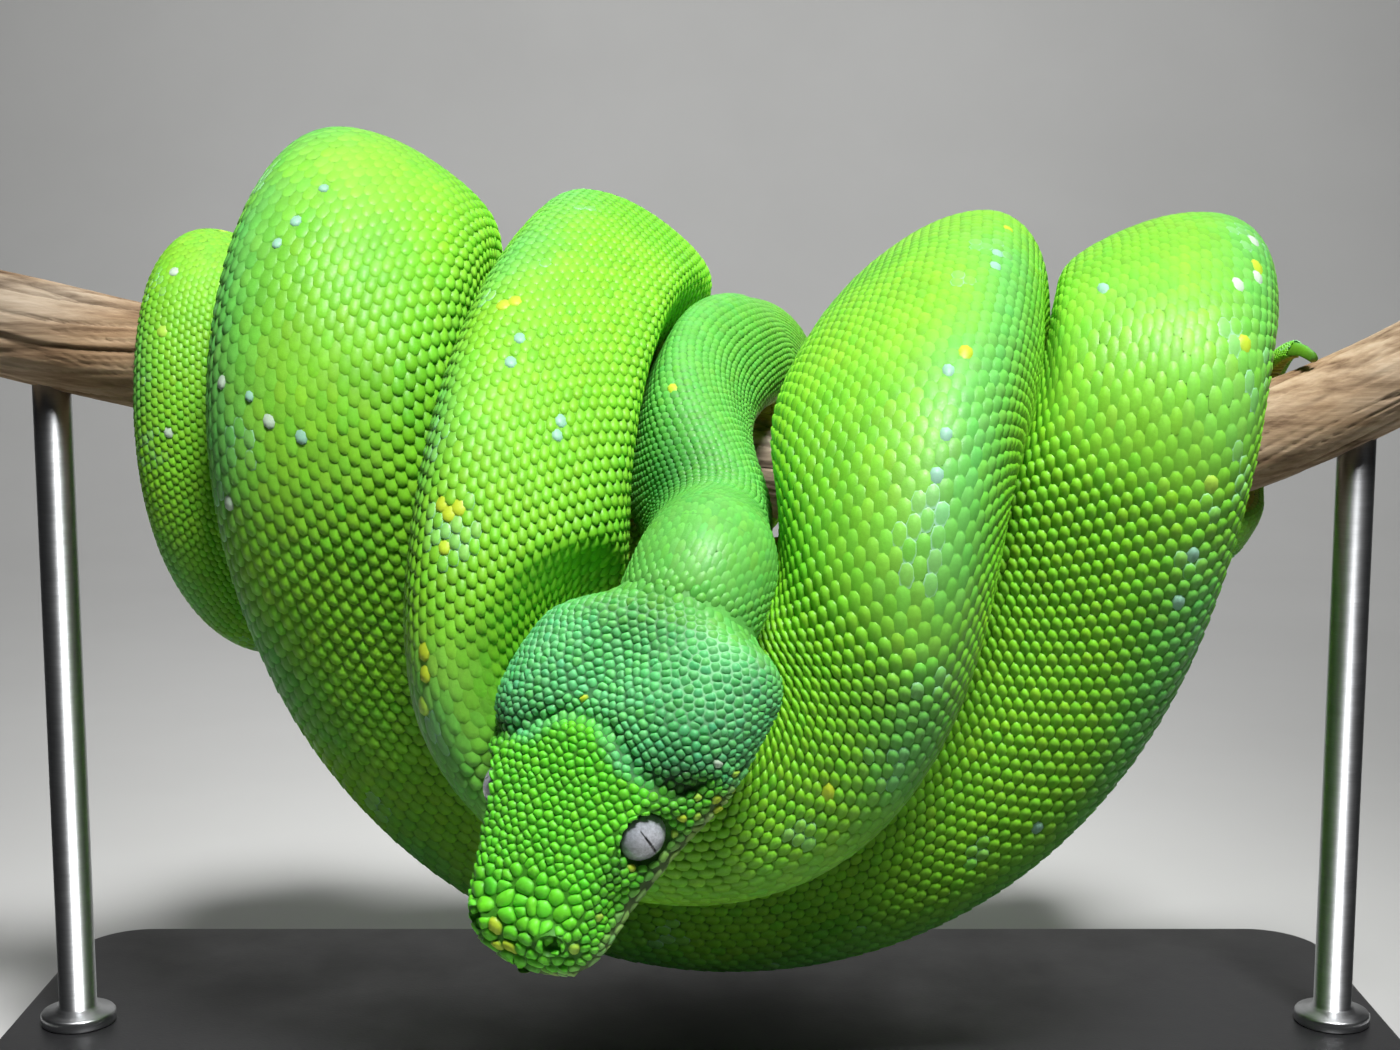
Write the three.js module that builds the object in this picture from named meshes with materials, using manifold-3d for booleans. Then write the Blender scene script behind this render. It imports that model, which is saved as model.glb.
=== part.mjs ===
// A green tree python resting in its saddle coil over a cut length of branch, held by a plain
// display stand. Millimetres, +Z up, +X along the perch, the snake's head at the front (-Y).
// The origin is the middle of the underside of the stand's base.
import * as THREE from 'three';
import { mergeVertices } from 'three/addons/utils/BufferGeometryUtils.js';
import Module from 'manifold-3d';

const wasm = await Module();
wasm.setup();
const { lerp, degToRad, clamp } = THREE.MathUtils;

// ---------------------------------------------------------------- driving dimensions

// The snake and its perch are placed about the middle of the coil, which stands here.
const COIL_PLACE = new THREE.Vector3(0, 20, 106);

const GAP = 0.3;
const PERCH = {
  left: -134, right: 136, radius: 10, sides: 12, stations: 16,
  lowX: 53, lowZ: 8, leftRise: 0.012, leftPower: 1.5, rightRise: 0.0035, rightPower: 2,
};
const STAND = {
  baseLength: 264, baseDepth: 150, baseHeight: 10, baseEdge: 1.5, cornerRadius: 14,
  rodRadius: 3.5, rodInset: 5, rodSides: 20, leftRodX: -119, rightRodX: 121,
};

// Where the body crosses the top of the perch, from the head to the tail: place along the
// perch, half thickness, height of the centreline over the perch's surface, and how far the
// spine leans along +X there.
const CROSSINGS = {
  neck: { x: 8, radius: 10.3, lift: 8.8, lean: 0 },
  leftInner: { x: -14.5, radius: 19, lift: 18.6, lean: -0.35 },
  rightInner: { x: 46.5, radius: 20.5, lift: 19.2, lean: 0.4 },
  leftOuter: { x: -58, radius: 22, lift: 19.5, lean: -0.4 },
  rightOuter: { x: 85.5, radius: 20, lift: 17, lean: 0.7 },
  tail: { x: -87, radius: 10, lift: 8.5, lean: -0.5 },
};

// The loops between the crossings. side: -1 hangs in front, 1 behind. reach: distance from
// the perch. tuck: how much nearer the perch the bottom lies. The flanks are where the loop
// hangs straight down: their shift from the crossing along X, and their height. bottom: lowest
// height of the centreline. roll: how far the spine turns from facing straight forward or
// backward (0) to facing out of the loop (90), and radii: the half thickness, both at the
// first flank, the bottom and the second flank.
const LOOPS = [
  { from: 'neck', to: 'leftInner', side: 1, reach: 32, tuck: 0, bottom: -2,
    flankShift: [5, -8], flankHeight: [20, 22], roll: [40, 60, 40], radii: [12, 13.5, 15.5] },
  { from: 'leftInner', to: 'rightInner', side: -1, reach: 72, tuck: 5, bottom: -30,
    flankShift: [-14.5, -19.5], flankHeight: [-8, 6], roll: [45, 65, 17], radii: [16.5, 18.5, 20] },
  { from: 'rightInner', to: 'leftOuter', side: 1, reach: 38, tuck: 0, bottom: -36,
    flankShift: [5, -6], flankHeight: [5, 5], roll: [40, 60, 40], radii: [20, 20.5, 21] },
  { from: 'leftOuter', to: 'rightOuter', side: -1, reach: 33, tuck: 22, bottom: -58,
    flankShift: [-2, -13.5], flankHeight: [15, 20], roll: [60, 75, 40], radii: [21, 21.5, 21] },
  { from: 'rightOuter', to: 'tail', side: 1, reach: 38, tuck: 0, bottom: -72,
    flankShift: [0, 2], flankHeight: [5, 5], roll: [40, 60, 40], radii: [19, 16.5, 11.5] },
];
const SHOULDER_STEPS = [30, 60];
const SHOULDER_EASE = 1.4;
const LOOP_STEP = 22.5;

// The S of the neck from the nape back to its crossing: centre and half thickness.
const NECK_BENDS = [
  [2.3, -73, 4.5, 11],
  [2.8, -64, 9, 11.4],
  [-0.8, -55, 14, 11.8],
  [-4, -44, 21, 12.5],
  [-3, -31, 27.5, 12.4],
  [2.2, -19, 31, 11.4],
  [5.5, -9, 31.5, 10.5],
];

// The tail drops in front of the perch, runs back under it and winds round it.
const TAIL_DROP = [
  [-88, -12, 41, 9.8],
  [-88.5, -19, 26, 9.8],
  [-88, -19, 8, 9.6],
  [-84, -14, -8, 9.3],
  [-75, -4, -17, 9],
];
const TAIL_RUN = { from: -58, to: 84, y: 2, below: 3, radii: [8.6, 5.8], steps: 7 };
const TAIL_WIND = {
  from: 100, to: 113, radii: [5.2, 1.6], start: -90, turn: 235, steps: 8, gap: 0.6,
};

const HEAD = {
  length: 55, root: [-4.5, -87, 0.5], aim: [-0.38, -0.36, -0.88], roll: 32, napeRadius: 10.7,
  napeShift: 3.4, cheekShift: 2.5, boxiness: 0.92, grooveDepth: 2, grooveWidth: 4.5,
  jawHinge: 0.27, mouthHeight: -3.2, sides: 20, rings: 15,
  eyeAt: 0.59, eyeOut: 10.8, eyeHeight: 3.2, eyeRadius: 3.9,
};
// Rows of the head's outline: place from the nape (0) to the snout (1), half width,
// height above and depth below the axis.
const HEAD_OUTLINE = [
  [0.00, 11.2, 10.4, 10.0],
  [0.06, 17.0, 11.4, 10.4],
  [0.14, 19.7, 12.0, 10.8],
  [0.26, 20.2, 12.2, 11.2],
  [0.42, 19.4, 11.2, 10.6],
  [0.60, 15.2, 9.8, 9.2],
  [0.76, 12.4, 8.4, 7.4],
  [0.90, 10.8, 7.2, 6.2],
  [0.97, 8.4, 5.4, 4.8],
  [1.00, 2.4, 1.8, 1.6],
];

const SECTION_SIDES = 16;
// Sections stand this many half thicknesses apart, within these limits.
const STATION_STEP = { perRadius: 0.6, least: 6, most: 12 };
const ROUTE_STEP = 2;
// Between pressed lengths of the body there is this gap, and the press rounds off over this.
const CONTACT_GAP = 0.55;
const SOFTNESS = 1.2;

const FINISHES = {
  skin: { color: 0x5fc21e, roughness: 0.45, metalness: 0 },
  crown: { color: 0x2f9a4a, roughness: 0.45, metalness: 0 },
  eye: { color: 0xa9adb3, roughness: 0.15, metalness: 0 },
  wood: { color: 0x9b7650, roughness: 0.9, metalness: 0 },
  base: { color: 0x2b2b2d, roughness: 0.5, metalness: 0 },
  rod: { color: 0xb8babd, roughness: 0.3, metalness: 0.9 },
};

// ---------------------------------------------------------------- the keys of the route

function vector(x, y, z) {
  return new THREE.Vector3(x, y, z);
}

// Height of the perch's axis: it sags to its lowest place and rises to both ends.
function perchHeight(x) {
  const far = Math.abs(x - PERCH.lowX);
  const rise = x < PERCH.lowX
    ? PERCH.leftRise * far ** PERCH.leftPower
    : PERCH.rightRise * far ** PERCH.rightPower;
  return PERCH.lowZ + rise;
}

function crossingHeight({ x, lift }) {
  return perchHeight(x) + PERCH.radius + lift;
}

// A key of the route: centre, direction of the spine, half thickness.
function key(centre, spine, radius) {
  return { centre, spine: spine.normalize(), radius };
}

function crossingKey(crossing) {
  const centre = vector(crossing.x, 0, crossingHeight(crossing));
  return key(centre, vector(crossing.lean, 0, 1), crossing.radius);
}

// A loop's roll at a turn of its hanging part, 0 at the first flank and PI at the second.
function rollAt({ roll }, turn) {
  const flanks = lerp(roll[0], roll[2], (1 - Math.cos(turn)) / 2);
  return degToRad(lerp(flanks, roll[1], Math.sin(turn) ** 2));
}

// A key on the shoulder between a crossing (bend 0) and its flank (bend 90); end 0 or 1.
function shoulderKey(loop, end, outward, degrees) {
  const crossing = CROSSINGS[end === 0 ? loop.from : loop.to];
  const bend = degToRad(degrees);
  const roll = rollAt(loop, end * Math.PI);
  const flankHeight = loop.flankHeight[end];
  const spine = vector(crossing.lean, 0, 1).normalize().multiplyScalar(Math.cos(bend));
  spine.x += Math.sin(bend) * Math.sin(roll) * outward;
  spine.y += Math.sin(bend) * Math.cos(roll) * loop.side;
  const centre = vector(
    crossing.x + loop.flankShift[end] * Math.sin(bend) ** SHOULDER_EASE,
    loop.side * loop.reach * Math.sin(bend),
    lerp(flankHeight, crossingHeight(crossing), Math.cos(bend)),
  );
  return key(centre, spine, lerp(crossing.radius, loop.radii[2 * end], Math.sin(bend)));
}

// The keys of one loop, from just after its first crossing to its second.
function loopKeys(loop) {
  const flanks = [loop.from, loop.to].map((name, end) => CROSSINGS[name].x + loop.flankShift[end]);
  const middle = (flanks[0] + flanks[1]) / 2;
  const half = (flanks[1] - flanks[0]) / 2;
  const onward = Math.sign(half);
  const keys = SHOULDER_STEPS.map((degrees) => shoulderKey(loop, 0, -onward, degrees));
  for (let degrees = 0; degrees <= 180; degrees += LOOP_STEP) {
    const turn = degToRad(degrees);
    const along = (1 - Math.cos(turn)) / 2;
    const level = lerp(loop.flankHeight[0], loop.flankHeight[1], along);
    const roll = rollAt(loop, turn);
    const centre = vector(
      middle - half * Math.cos(turn),
      loop.side * (loop.reach - loop.tuck * Math.sin(turn)),
      lerp(level, loop.bottom, Math.sin(turn)),
    );
    const spine = vector(
      -onward * Math.cos(turn) * Math.sin(roll),
      loop.side * Math.cos(roll),
      -Math.sin(turn) * Math.sin(roll),
    );
    const flankRadius = lerp(loop.radii[0], loop.radii[2], along);
    keys.push(key(centre, spine, lerp(flankRadius, loop.radii[1], Math.sin(turn) ** 2)));
  }
  for (const degrees of [...SHOULDER_STEPS].reverse()) {
    keys.push(shoulderKey(loop, 1, onward, degrees));
  }
  keys.push(crossingKey(CROSSINGS[loop.to]));
  return keys;
}

// The head's own directions: snout, crown and left side.
const HEAD_ROOT = vector(...HEAD.root);
const SNOUT = vector(...HEAD.aim).normalize();
const CROWN = vector(0, -1, 0).addScaledVector(SNOUT, SNOUT.y).normalize()
  .applyAxisAngle(SNOUT, degToRad(HEAD.roll));
const LEFT_SIDE = new THREE.Vector3().crossVectors(CROWN, SNOUT);

// The neck leaves the head along the head's axis, a little to its left, and climbs to its
// crossing.
function neckKeys() {
  const nape = HEAD_ROOT.clone().addScaledVector(LEFT_SIDE, HEAD.napeShift);
  const keys = [10, 0, -8].map((ahead) => (
    key(nape.clone().addScaledVector(SNOUT, ahead), CROWN.clone(), HEAD.napeRadius)
  ));
  for (const [x, y, z, radius] of NECK_BENDS) {
    keys.push(key(vector(x, y, z), vector(0, -0.5, 1), radius));
  }
  keys.push(crossingKey(CROSSINGS.neck));
  return keys;
}

function tailDropKeys() {
  return TAIL_DROP.map(([x, y, z, radius], i) => {
    const low = i / (TAIL_DROP.length - 1);
    return key(vector(x, y, z), vector(low - 1, -0.7 * (1 - low), -low), radius);
  });
}

function tailRunKeys() {
  const keys = [];
  for (let i = 0; i <= TAIL_RUN.steps; i += 1) {
    const along = i / TAIL_RUN.steps;
    const x = lerp(TAIL_RUN.from, TAIL_RUN.to, along);
    const radius = lerp(...TAIL_RUN.radii, along);
    const z = perchHeight(x) - PERCH.radius - radius - TAIL_RUN.below;
    keys.push(key(vector(x, TAIL_RUN.y, z), vector(0, -0.3, -1), radius));
  }
  return keys;
}

function tailWindKeys() {
  const keys = [];
  for (let i = 0; i <= TAIL_WIND.steps; i += 1) {
    const along = i / TAIL_WIND.steps;
    const x = lerp(TAIL_WIND.from, TAIL_WIND.to, along);
    const radius = lerp(...TAIL_WIND.radii, along);
    const angle = degToRad(TAIL_WIND.start + TAIL_WIND.turn * along);
    const out = vector(0, Math.cos(angle), Math.sin(angle));
    const centre = vector(x, 0, perchHeight(x))
      .addScaledVector(out, PERCH.radius + radius + TAIL_WIND.gap);
    keys.push(key(centre, out, radius));
  }
  return keys;
}

// ---------------------------------------------------------------- the route itself

// A uniform cubic B-spline through the keys; key is the place counted in keys.
function splinePoints(keys, perKey = 12) {
  const points = [];
  for (let i = 0; i + 3 < keys.length; i += 1) {
    for (let j = 0; j < perKey; j += 1) {
      const t = j / perKey;
      const weights = [
        (1 - t) ** 3 / 6,
        (3 * t ** 3 - 6 * t ** 2 + 4) / 6,
        (-3 * t ** 3 + 3 * t ** 2 + 3 * t + 1) / 6,
        t ** 3 / 6,
      ];
      const point = { centre: vector(0, 0, 0), spine: vector(0, 0, 0), radius: 0, key: i + 1 + t };
      weights.forEach((weight, k) => {
        point.centre.addScaledVector(keys[i + k].centre, weight);
        point.spine.addScaledVector(keys[i + k].spine, weight);
        point.radius += keys[i + k].radius * weight;
      });
      points.push(point);
    }
  }
  return points;
}

function sampleRoute(keys) {
  const points = splinePoints(keys);
  const samples = [];
  let travelled = 0;
  for (let i = 0; i + 1 < points.length; i += 1) {
    const [a, b] = [points[i], points[i + 1]];
    const span = a.centre.distanceTo(b.centre);
    while (samples.length * ROUTE_STEP <= travelled + span) {
      const length = samples.length * ROUTE_STEP;
      const t = (length - travelled) / span;
      samples.push({
        length,
        centre: a.centre.clone().lerp(b.centre, t),
        spine: a.spine.clone().lerp(b.spine, t),
        radius: lerp(a.radius, b.radius, t),
        key: lerp(a.key, b.key, t),
      });
    }
    travelled += span;
  }
  return samples;
}

// Adds the tangent, the side and the bend (towards the inside, 1/radius long) to each sample.
function addFrames(samples) {
  const last = samples.length - 1;
  const reach = 3;
  samples.forEach((sample, i) => {
    const before = samples[Math.max(i - 1, 0)].centre;
    const after = samples[Math.min(i + 1, last)].centre;
    sample.tangent = after.clone().sub(before).normalize();
    sample.spine.addScaledVector(sample.tangent, -sample.spine.dot(sample.tangent)).normalize();
    sample.side = new THREE.Vector3().crossVectors(sample.tangent, sample.spine);
    const at = clamp(i, reach, last - reach);
    sample.bend = samples[at - reach].centre.clone().add(samples[at + reach].centre)
      .addScaledVector(samples[at].centre, -2).divideScalar((reach * ROUTE_STEP) ** 2);
  });
  return samples;
}

// The keys in order, and the key at which each length of the body ends.
const routeKeys = neckKeys();
const NAPE_KEY = 1;
const lengths = [['neck', routeKeys.length - 1]];
const lowestKey = SHOULDER_STEPS.length + 90 / LOOP_STEP;
for (const loop of LOOPS) {
  const count = String(lengths.length).padStart(2, '0');
  const next = String(lengths.length + 1).padStart(2, '0');
  lengths.push([`trunk_${count}`, routeKeys.length + lowestKey]);
  routeKeys.push(...loopKeys(loop));
  lengths.push([`trunk_${next}`, routeKeys.length - 1]);
}
routeKeys.push(...tailDropKeys());
lengths.push(['tail_root', routeKeys.length]);
routeKeys.push(...tailRunKeys());
lengths.push(['tail_run', routeKeys.length - 1]);
routeKeys.push(...tailWindKeys());
lengths.push(['tail_tip', Infinity]);
const route = addFrames(sampleRoute(routeKeys));

// ---------------------------------------------------------------- sections of the body

// The relaxed section: a rounded triangle with a ridge along the spine and a flat belly.
// angle 0 is the spine.
function relaxedRadius(radius, angle) {
  const ridge = 0.07 * Math.exp(-((angle / 0.34) ** 2));
  const sides = 0.02 * Math.cos(2 * angle) + 0.065 * Math.cos(3 * angle);
  return radius * (1 + sides + ridge);
}

// Half width, height and depth of the head at t, from the nape (0) to the snout (1).
function headOutline(t) {
  let row = 1;
  while (row < HEAD_OUTLINE.length - 1 && HEAD_OUTLINE[row][0] < t) row += 1;
  const [a, b] = [HEAD_OUTLINE[row - 1], HEAD_OUTLINE[row]];
  const along = clamp((t - a[0]) / (b[0] - a[0]), 0, 1);
  return [1, 2, 3].map((column) => lerp(a[column], b[column], along));
}

const perchAxis = [];
for (let x = PERCH.left; x <= PERCH.right; x += ROUTE_STEP) {
  perchAxis.push(vector(x, 0, perchHeight(x)));
}
const headAxis = [];
for (let t = 0.15; t < 1; t += 0.05) {
  const [halfWidth, above, below] = headOutline(t);
  const centre = HEAD_ROOT.clone().addScaledVector(SNOUT, t * HEAD.length);
  headAxis.push({ centre, halfWidth, halfHeight: Math.max(above, below) });
}

// Planes that keep a section clear of its neighbours. Another length of the body shares the
// contact in proportion to the two thicknesses; the perch and the head don't give way.
function contactPlanes(sample) {
  const planes = [];
  const near = 1.3 * sample.radius;
  const addPlane = (centre, distanceAlong) => {
    const towards = centre.clone().sub(sample.centre);
    const apart = towards.length();
    if (apart > 4 * near) return;
    towards.divideScalar(apart);
    const distance = distanceAlong(apart, towards);
    if (distance < near) planes.push({ towards, distance });
  };
  for (const other of route) {
    const clear = 2.4 * Math.max(sample.radius, other.radius);
    if (Math.abs(other.length - sample.length) < clear) continue;
    const share = sample.radius / (sample.radius + other.radius);
    addPlane(other.centre, (apart) => apart * share - CONTACT_GAP / 2);
  }
  for (const centre of perchAxis) {
    addPlane(centre, (apart) => apart - PERCH.radius - CONTACT_GAP);
  }
  if (sample.key > lengths[0][1]) {
    for (const { centre, halfWidth, halfHeight } of headAxis) {
      addPlane(centre, (apart, towards) => apart - CONTACT_GAP - Math.hypot(
        halfWidth * towards.dot(LEFT_SIDE),
        halfHeight * towards.dot(CROWN),
      ));
    }
  }
  return planes;
}

function softMinimum(a, b) {
  return -SOFTNESS * Math.log(Math.exp(-a / SOFTNESS) + Math.exp(-b / SOFTNESS));
}

// A section of the body at a sample, moved along the tangent by shift.
function bodyRing(sample, shift) {
  const planes = contactPlanes(sample);
  const ring = [];
  for (let i = 0; i < SECTION_SIDES; i += 1) {
    const angle = (2 * Math.PI * i) / SECTION_SIDES;
    const direction = sample.spine.clone().multiplyScalar(Math.cos(angle))
      .addScaledVector(sample.side, Math.sin(angle));
    // On the inside of a bend the section stops short of the centre of the bend.
    let limit = 0.9 / Math.max(sample.bend.dot(direction), 0.001);
    for (const { towards, distance } of planes) {
      const facing = towards.dot(direction);
      if (facing > 0.05) limit = Math.min(limit, distance / facing);
    }
    const fromSpine = Math.min(angle, 2 * Math.PI - angle);
    const reach = softMinimum(relaxedRadius(sample.radius, fromSpine), limit);
    ring.push(sample.centre.clone().addScaledVector(direction, Math.max(reach, 1))
      .addScaledVector(sample.tangent, shift));
  }
  return ring;
}

// ---------------------------------------------------------------- solids from rings

function signedVolume(positions, faces) {
  const cross = new THREE.Vector3();
  return faces.reduce((sum, [a, b, c]) => (
    sum + positions[a].dot(cross.crossVectors(positions[b], positions[c])) / 6
  ), 0);
}

// A closed loft through rings of equal count, with a flat fan on both ends.
function loft(rings) {
  const count = rings[0].length;
  const positions = rings.flat();
  const faces = [];
  for (let r = 0; r + 1 < rings.length; r += 1) {
    for (let i = 0; i < count; i += 1) {
      const [a, b] = [r * count + i, r * count + ((i + 1) % count)];
      faces.push([a, b, a + count], [b, b + count, a + count]);
    }
  }
  for (const ring of [0, rings.length - 1]) {
    const middle = vector(0, 0, 0);
    rings[ring].forEach((point) => middle.addScaledVector(point, 1 / count));
    positions.push(middle);
    for (let i = 0; i < count; i += 1) {
      const [a, b] = [ring * count + i, ring * count + ((i + 1) % count)];
      faces.push(ring === 0 ? [b, a, positions.length - 1] : [a, b, positions.length - 1]);
    }
  }
  if (signedVolume(positions, faces) < 0) faces.forEach((face) => face.reverse());
  const geometry = new THREE.BufferGeometry();
  const numbers = positions.flatMap((point) => point.toArray());
  geometry.setAttribute('position', new THREE.Float32BufferAttribute(numbers, 3));
  geometry.setIndex(faces.flat());
  return geometry;
}

function toSolid(geometry) {
  const bare = geometry.clone();
  bare.deleteAttribute('normal');
  bare.deleteAttribute('uv');
  const merged = mergeVertices(bare, 1e-4);
  return new wasm.Manifold(new wasm.Mesh({
    numProp: 3,
    vertProperties: new Float32Array(merged.attributes.position.array),
    triVerts: new Uint32Array(merged.index.array),
  }));
}

function toGeometry(solid) {
  const { vertProperties, triVerts } = solid.getMesh();
  const geometry = new THREE.BufferGeometry();
  geometry.setAttribute('position', new THREE.BufferAttribute(new Float32Array(vertProperties), 3));
  geometry.setIndex(new THREE.BufferAttribute(new Uint32Array(triVerts), 1));
  return geometry;
}

// ---------------------------------------------------------------- the object

const python = new THREE.Group();
const coil = new THREE.Group();
coil.position.copy(COIL_PLACE);
python.add(coil);

function addMesh(parent, name, geometry, finish) {
  geometry.computeVertexNormals();
  const mesh = new THREE.Mesh(geometry, new THREE.MeshStandardMaterial(FINISHES[finish]));
  mesh.name = name;
  parent.add(mesh);
  return mesh;
}

// The lengths of the body, parted by thin plane cuts at the crossings and the low points.
function addBody() {
  const sampleAt = (keyPlace) => {
    const found = route.findIndex((sample) => sample.key >= keyPlace);
    return found < 0 ? route.length - 1 : found;
  };
  let start = sampleAt(NAPE_KEY);
  for (const [name, endKey] of lengths) {
    const end = sampleAt(endKey);
    const thickness = route[Math.round((start + end) / 2)].radius;
    const spacing = clamp(STATION_STEP.perRadius * thickness, STATION_STEP.least, STATION_STEP.most);
    const steps = Math.ceil(((end - start) * ROUTE_STEP) / spacing);
    const rings = [];
    for (let step = 0; step <= steps; step += 1) {
      const sample = route[Math.round(lerp(start, end, step / steps))];
      const inward = (step === 0) - (step === steps);
      rings.push(bodyRing(sample, (inward * GAP) / 2));
    }
    addMesh(coil, name, loft(rings), 'skin');
    start = end;
  }
}

// A ring of the head in its own frame: X is its left side, Y the crown, Z the snout. The two
// cheeks bulge beside a groove in the middle of the nape.
function headRing(t) {
  const [halfWidth, above, below] = headOutline(t);
  const lobes = Math.exp(-(((t - 0.22) / 0.13) ** 2));
  const shift = HEAD.cheekShift * Math.exp(-(((t - 0.06) / 0.2) ** 2));
  const boxed = (part) => Math.sign(part) * Math.abs(part) ** HEAD.boxiness;
  const ring = [];
  for (let i = 0; i < HEAD.sides; i += 1) {
    const angle = (2 * Math.PI * i) / HEAD.sides;
    const x = halfWidth * boxed(Math.sin(angle));
    const up = boxed(Math.cos(angle));
    const groove = HEAD.grooveDepth * lobes * Math.exp(-((x / HEAD.grooveWidth) ** 2));
    const y = up > 0 ? up * above - groove : up * below;
    ring.push(vector(x + shift, y, t * HEAD.length));
  }
  return ring;
}

function addHeadMesh(name, geometry, finish) {
  const mesh = addMesh(coil, name, geometry, finish);
  const turned = new THREE.Matrix4().makeBasis(LEFT_SIDE, CROWN, SNOUT);
  mesh.quaternion.setFromRotationMatrix(turned);
  mesh.position.copy(HEAD_ROOT);
}

function eyeBall(side, radius) {
  const ball = new THREE.SphereGeometry(radius, 14, 8);
  ball.translate(side * HEAD.eyeOut, HEAD.eyeHeight, HEAD.eyeAt * HEAD.length);
  return ball;
}

// All of the head that is lower than top and ahead of the hinge.
function mouthBlock(top, hinge) {
  const [width, depth] = [60, 30];
  const block = new THREE.BoxGeometry(width, depth, HEAD.length);
  block.translate(0, top - depth / 2, hinge + HEAD.length / 2);
  return toSolid(block);
}

function addHead() {
  const nape = 0.9 / HEAD.length;
  const rings = [];
  for (let r = 0; r <= HEAD.rings; r += 1) {
    const along = Math.sin((Math.PI / 2) * (r / HEAD.rings) ** 0.9);
    rings.push(headRing(lerp(nape, 1, along)));
  }
  let skull = toSolid(loft(rings));
  for (const side of [-1, 1]) skull = skull.subtract(toSolid(eyeBall(side, HEAD.eyeRadius + GAP)));
  const hinge = HEAD.jawHinge * HEAD.length;
  const jaw = skull.intersect(mouthBlock(HEAD.mouthHeight - GAP, hinge + GAP));
  skull = skull.subtract(mouthBlock(HEAD.mouthHeight, hinge));
  addHeadMesh('head', toGeometry(skull), 'crown');
  addHeadMesh('lower_jaw', toGeometry(jaw), 'crown');
  addHeadMesh('eye_right', eyeBall(-1, HEAD.eyeRadius), 'eye');
  addHeadMesh('eye_left', eyeBall(1, HEAD.eyeRadius), 'eye');
}

// ---------------------------------------------------------------- perch and stand

function perchSolid() {
  const rings = [];
  for (let i = 0; i <= PERCH.stations; i += 1) {
    const x = lerp(PERCH.left, PERCH.right, i / PERCH.stations);
    const ring = [];
    for (let side = 0; side < PERCH.sides; side += 1) {
      const angle = (2 * Math.PI * side) / PERCH.sides;
      const [y, z] = [Math.cos(angle), Math.sin(angle)].map((part) => part * PERCH.radius);
      ring.push(vector(x, y, perchHeight(x) + z));
    }
    rings.push(ring);
  }
  return toSolid(loft(rings));
}

// A plate with rounded corners and a small chamfer all round, its underside on the floor.
function baseSolid() {
  const { baseLength, baseDepth, baseHeight, baseEdge, cornerRadius } = STAND;
  const shape = new THREE.Shape();
  for (const [right, back, start] of [[1, 1, 0], [-1, 1, 90], [-1, -1, 180], [1, -1, 270]]) {
    const x = right * (baseLength / 2 - cornerRadius);
    const y = back * (baseDepth / 2 - cornerRadius);
    shape.absarc(x, y, cornerRadius, degToRad(start), degToRad(start + 90), false);
  }
  const plate = new THREE.ExtrudeGeometry(shape, {
    depth: baseHeight - 2 * baseEdge, curveSegments: 6, bevelSegments: 1,
    bevelThickness: baseEdge, bevelSize: baseEdge, bevelOffset: -baseEdge,
  });
  plate.translate(0, 0, baseEdge);
  return toSolid(plate);
}

// An upright rod or rod hole under the perch's axis.
function upright(radius, x, bottom, top) {
  const cylinder = new THREE.CylinderGeometry(radius, radius, top - bottom, STAND.rodSides);
  cylinder.rotateX(Math.PI / 2);
  cylinder.translate(x, COIL_PLACE.y, (bottom + top) / 2);
  return cylinder;
}

function addPerchAndStand() {
  let perch = perchSolid();
  let base = baseSolid();
  for (const [name, x] of [['stand_rod_left', STAND.leftRodX], ['stand_rod_right', STAND.rightRodX]]) {
    const bottom = STAND.baseHeight - STAND.rodInset;
    const top = COIL_PLACE.z + perchHeight(x) - PERCH.radius + STAND.rodInset;
    const hole = upright(STAND.rodRadius + GAP, x, bottom - GAP, top + GAP);
    base = base.subtract(toSolid(hole));
    hole.translate(0, -COIL_PLACE.y, -COIL_PLACE.z);
    perch = perch.subtract(toSolid(hole));
    addMesh(python, name, upright(STAND.rodRadius, x, bottom, top), 'rod');
  }
  addMesh(coil, 'perch_branch', toGeometry(perch), 'wood');
  addMesh(python, 'stand_base', toGeometry(base), 'base');
}

addBody();
addHead();
addPerchAndStand();

export default python;
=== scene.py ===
import math
from functools import cache

import bpy
import numpy as np
from bpy.props import FloatProperty, IntProperty, PointerProperty
from bpy.types import Operator, Panel, PropertyGroup
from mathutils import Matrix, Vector, kdtree, noise


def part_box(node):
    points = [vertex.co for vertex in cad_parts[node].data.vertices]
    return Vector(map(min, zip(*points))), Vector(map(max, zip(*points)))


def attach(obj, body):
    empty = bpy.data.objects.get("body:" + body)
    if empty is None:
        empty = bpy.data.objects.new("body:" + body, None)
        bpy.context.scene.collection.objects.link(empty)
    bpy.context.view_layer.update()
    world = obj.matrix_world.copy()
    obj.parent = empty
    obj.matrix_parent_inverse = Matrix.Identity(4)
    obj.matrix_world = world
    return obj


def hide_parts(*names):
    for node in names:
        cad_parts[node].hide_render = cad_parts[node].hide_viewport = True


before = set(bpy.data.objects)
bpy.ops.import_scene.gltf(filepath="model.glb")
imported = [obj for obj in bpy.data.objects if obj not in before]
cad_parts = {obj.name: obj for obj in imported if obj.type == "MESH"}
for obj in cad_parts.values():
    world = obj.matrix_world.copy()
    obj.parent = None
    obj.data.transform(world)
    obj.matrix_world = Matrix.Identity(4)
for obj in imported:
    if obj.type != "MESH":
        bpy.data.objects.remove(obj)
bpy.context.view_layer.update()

bl_info = {
    "name": "Coiled green tree python",
    "version": (1, 0, 0),
    "blender": (4, 5, 0),
    "location": "3D View > Sidebar > Python",
    "description": "Skin, scales, eyes, perch and stand of a life-size coiled tree python",
    "category": "Object",
}

MM = 0.001
TURN = 2 * math.pi

# ---------------------------------------------------------------- the coil (millimetres)

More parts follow.
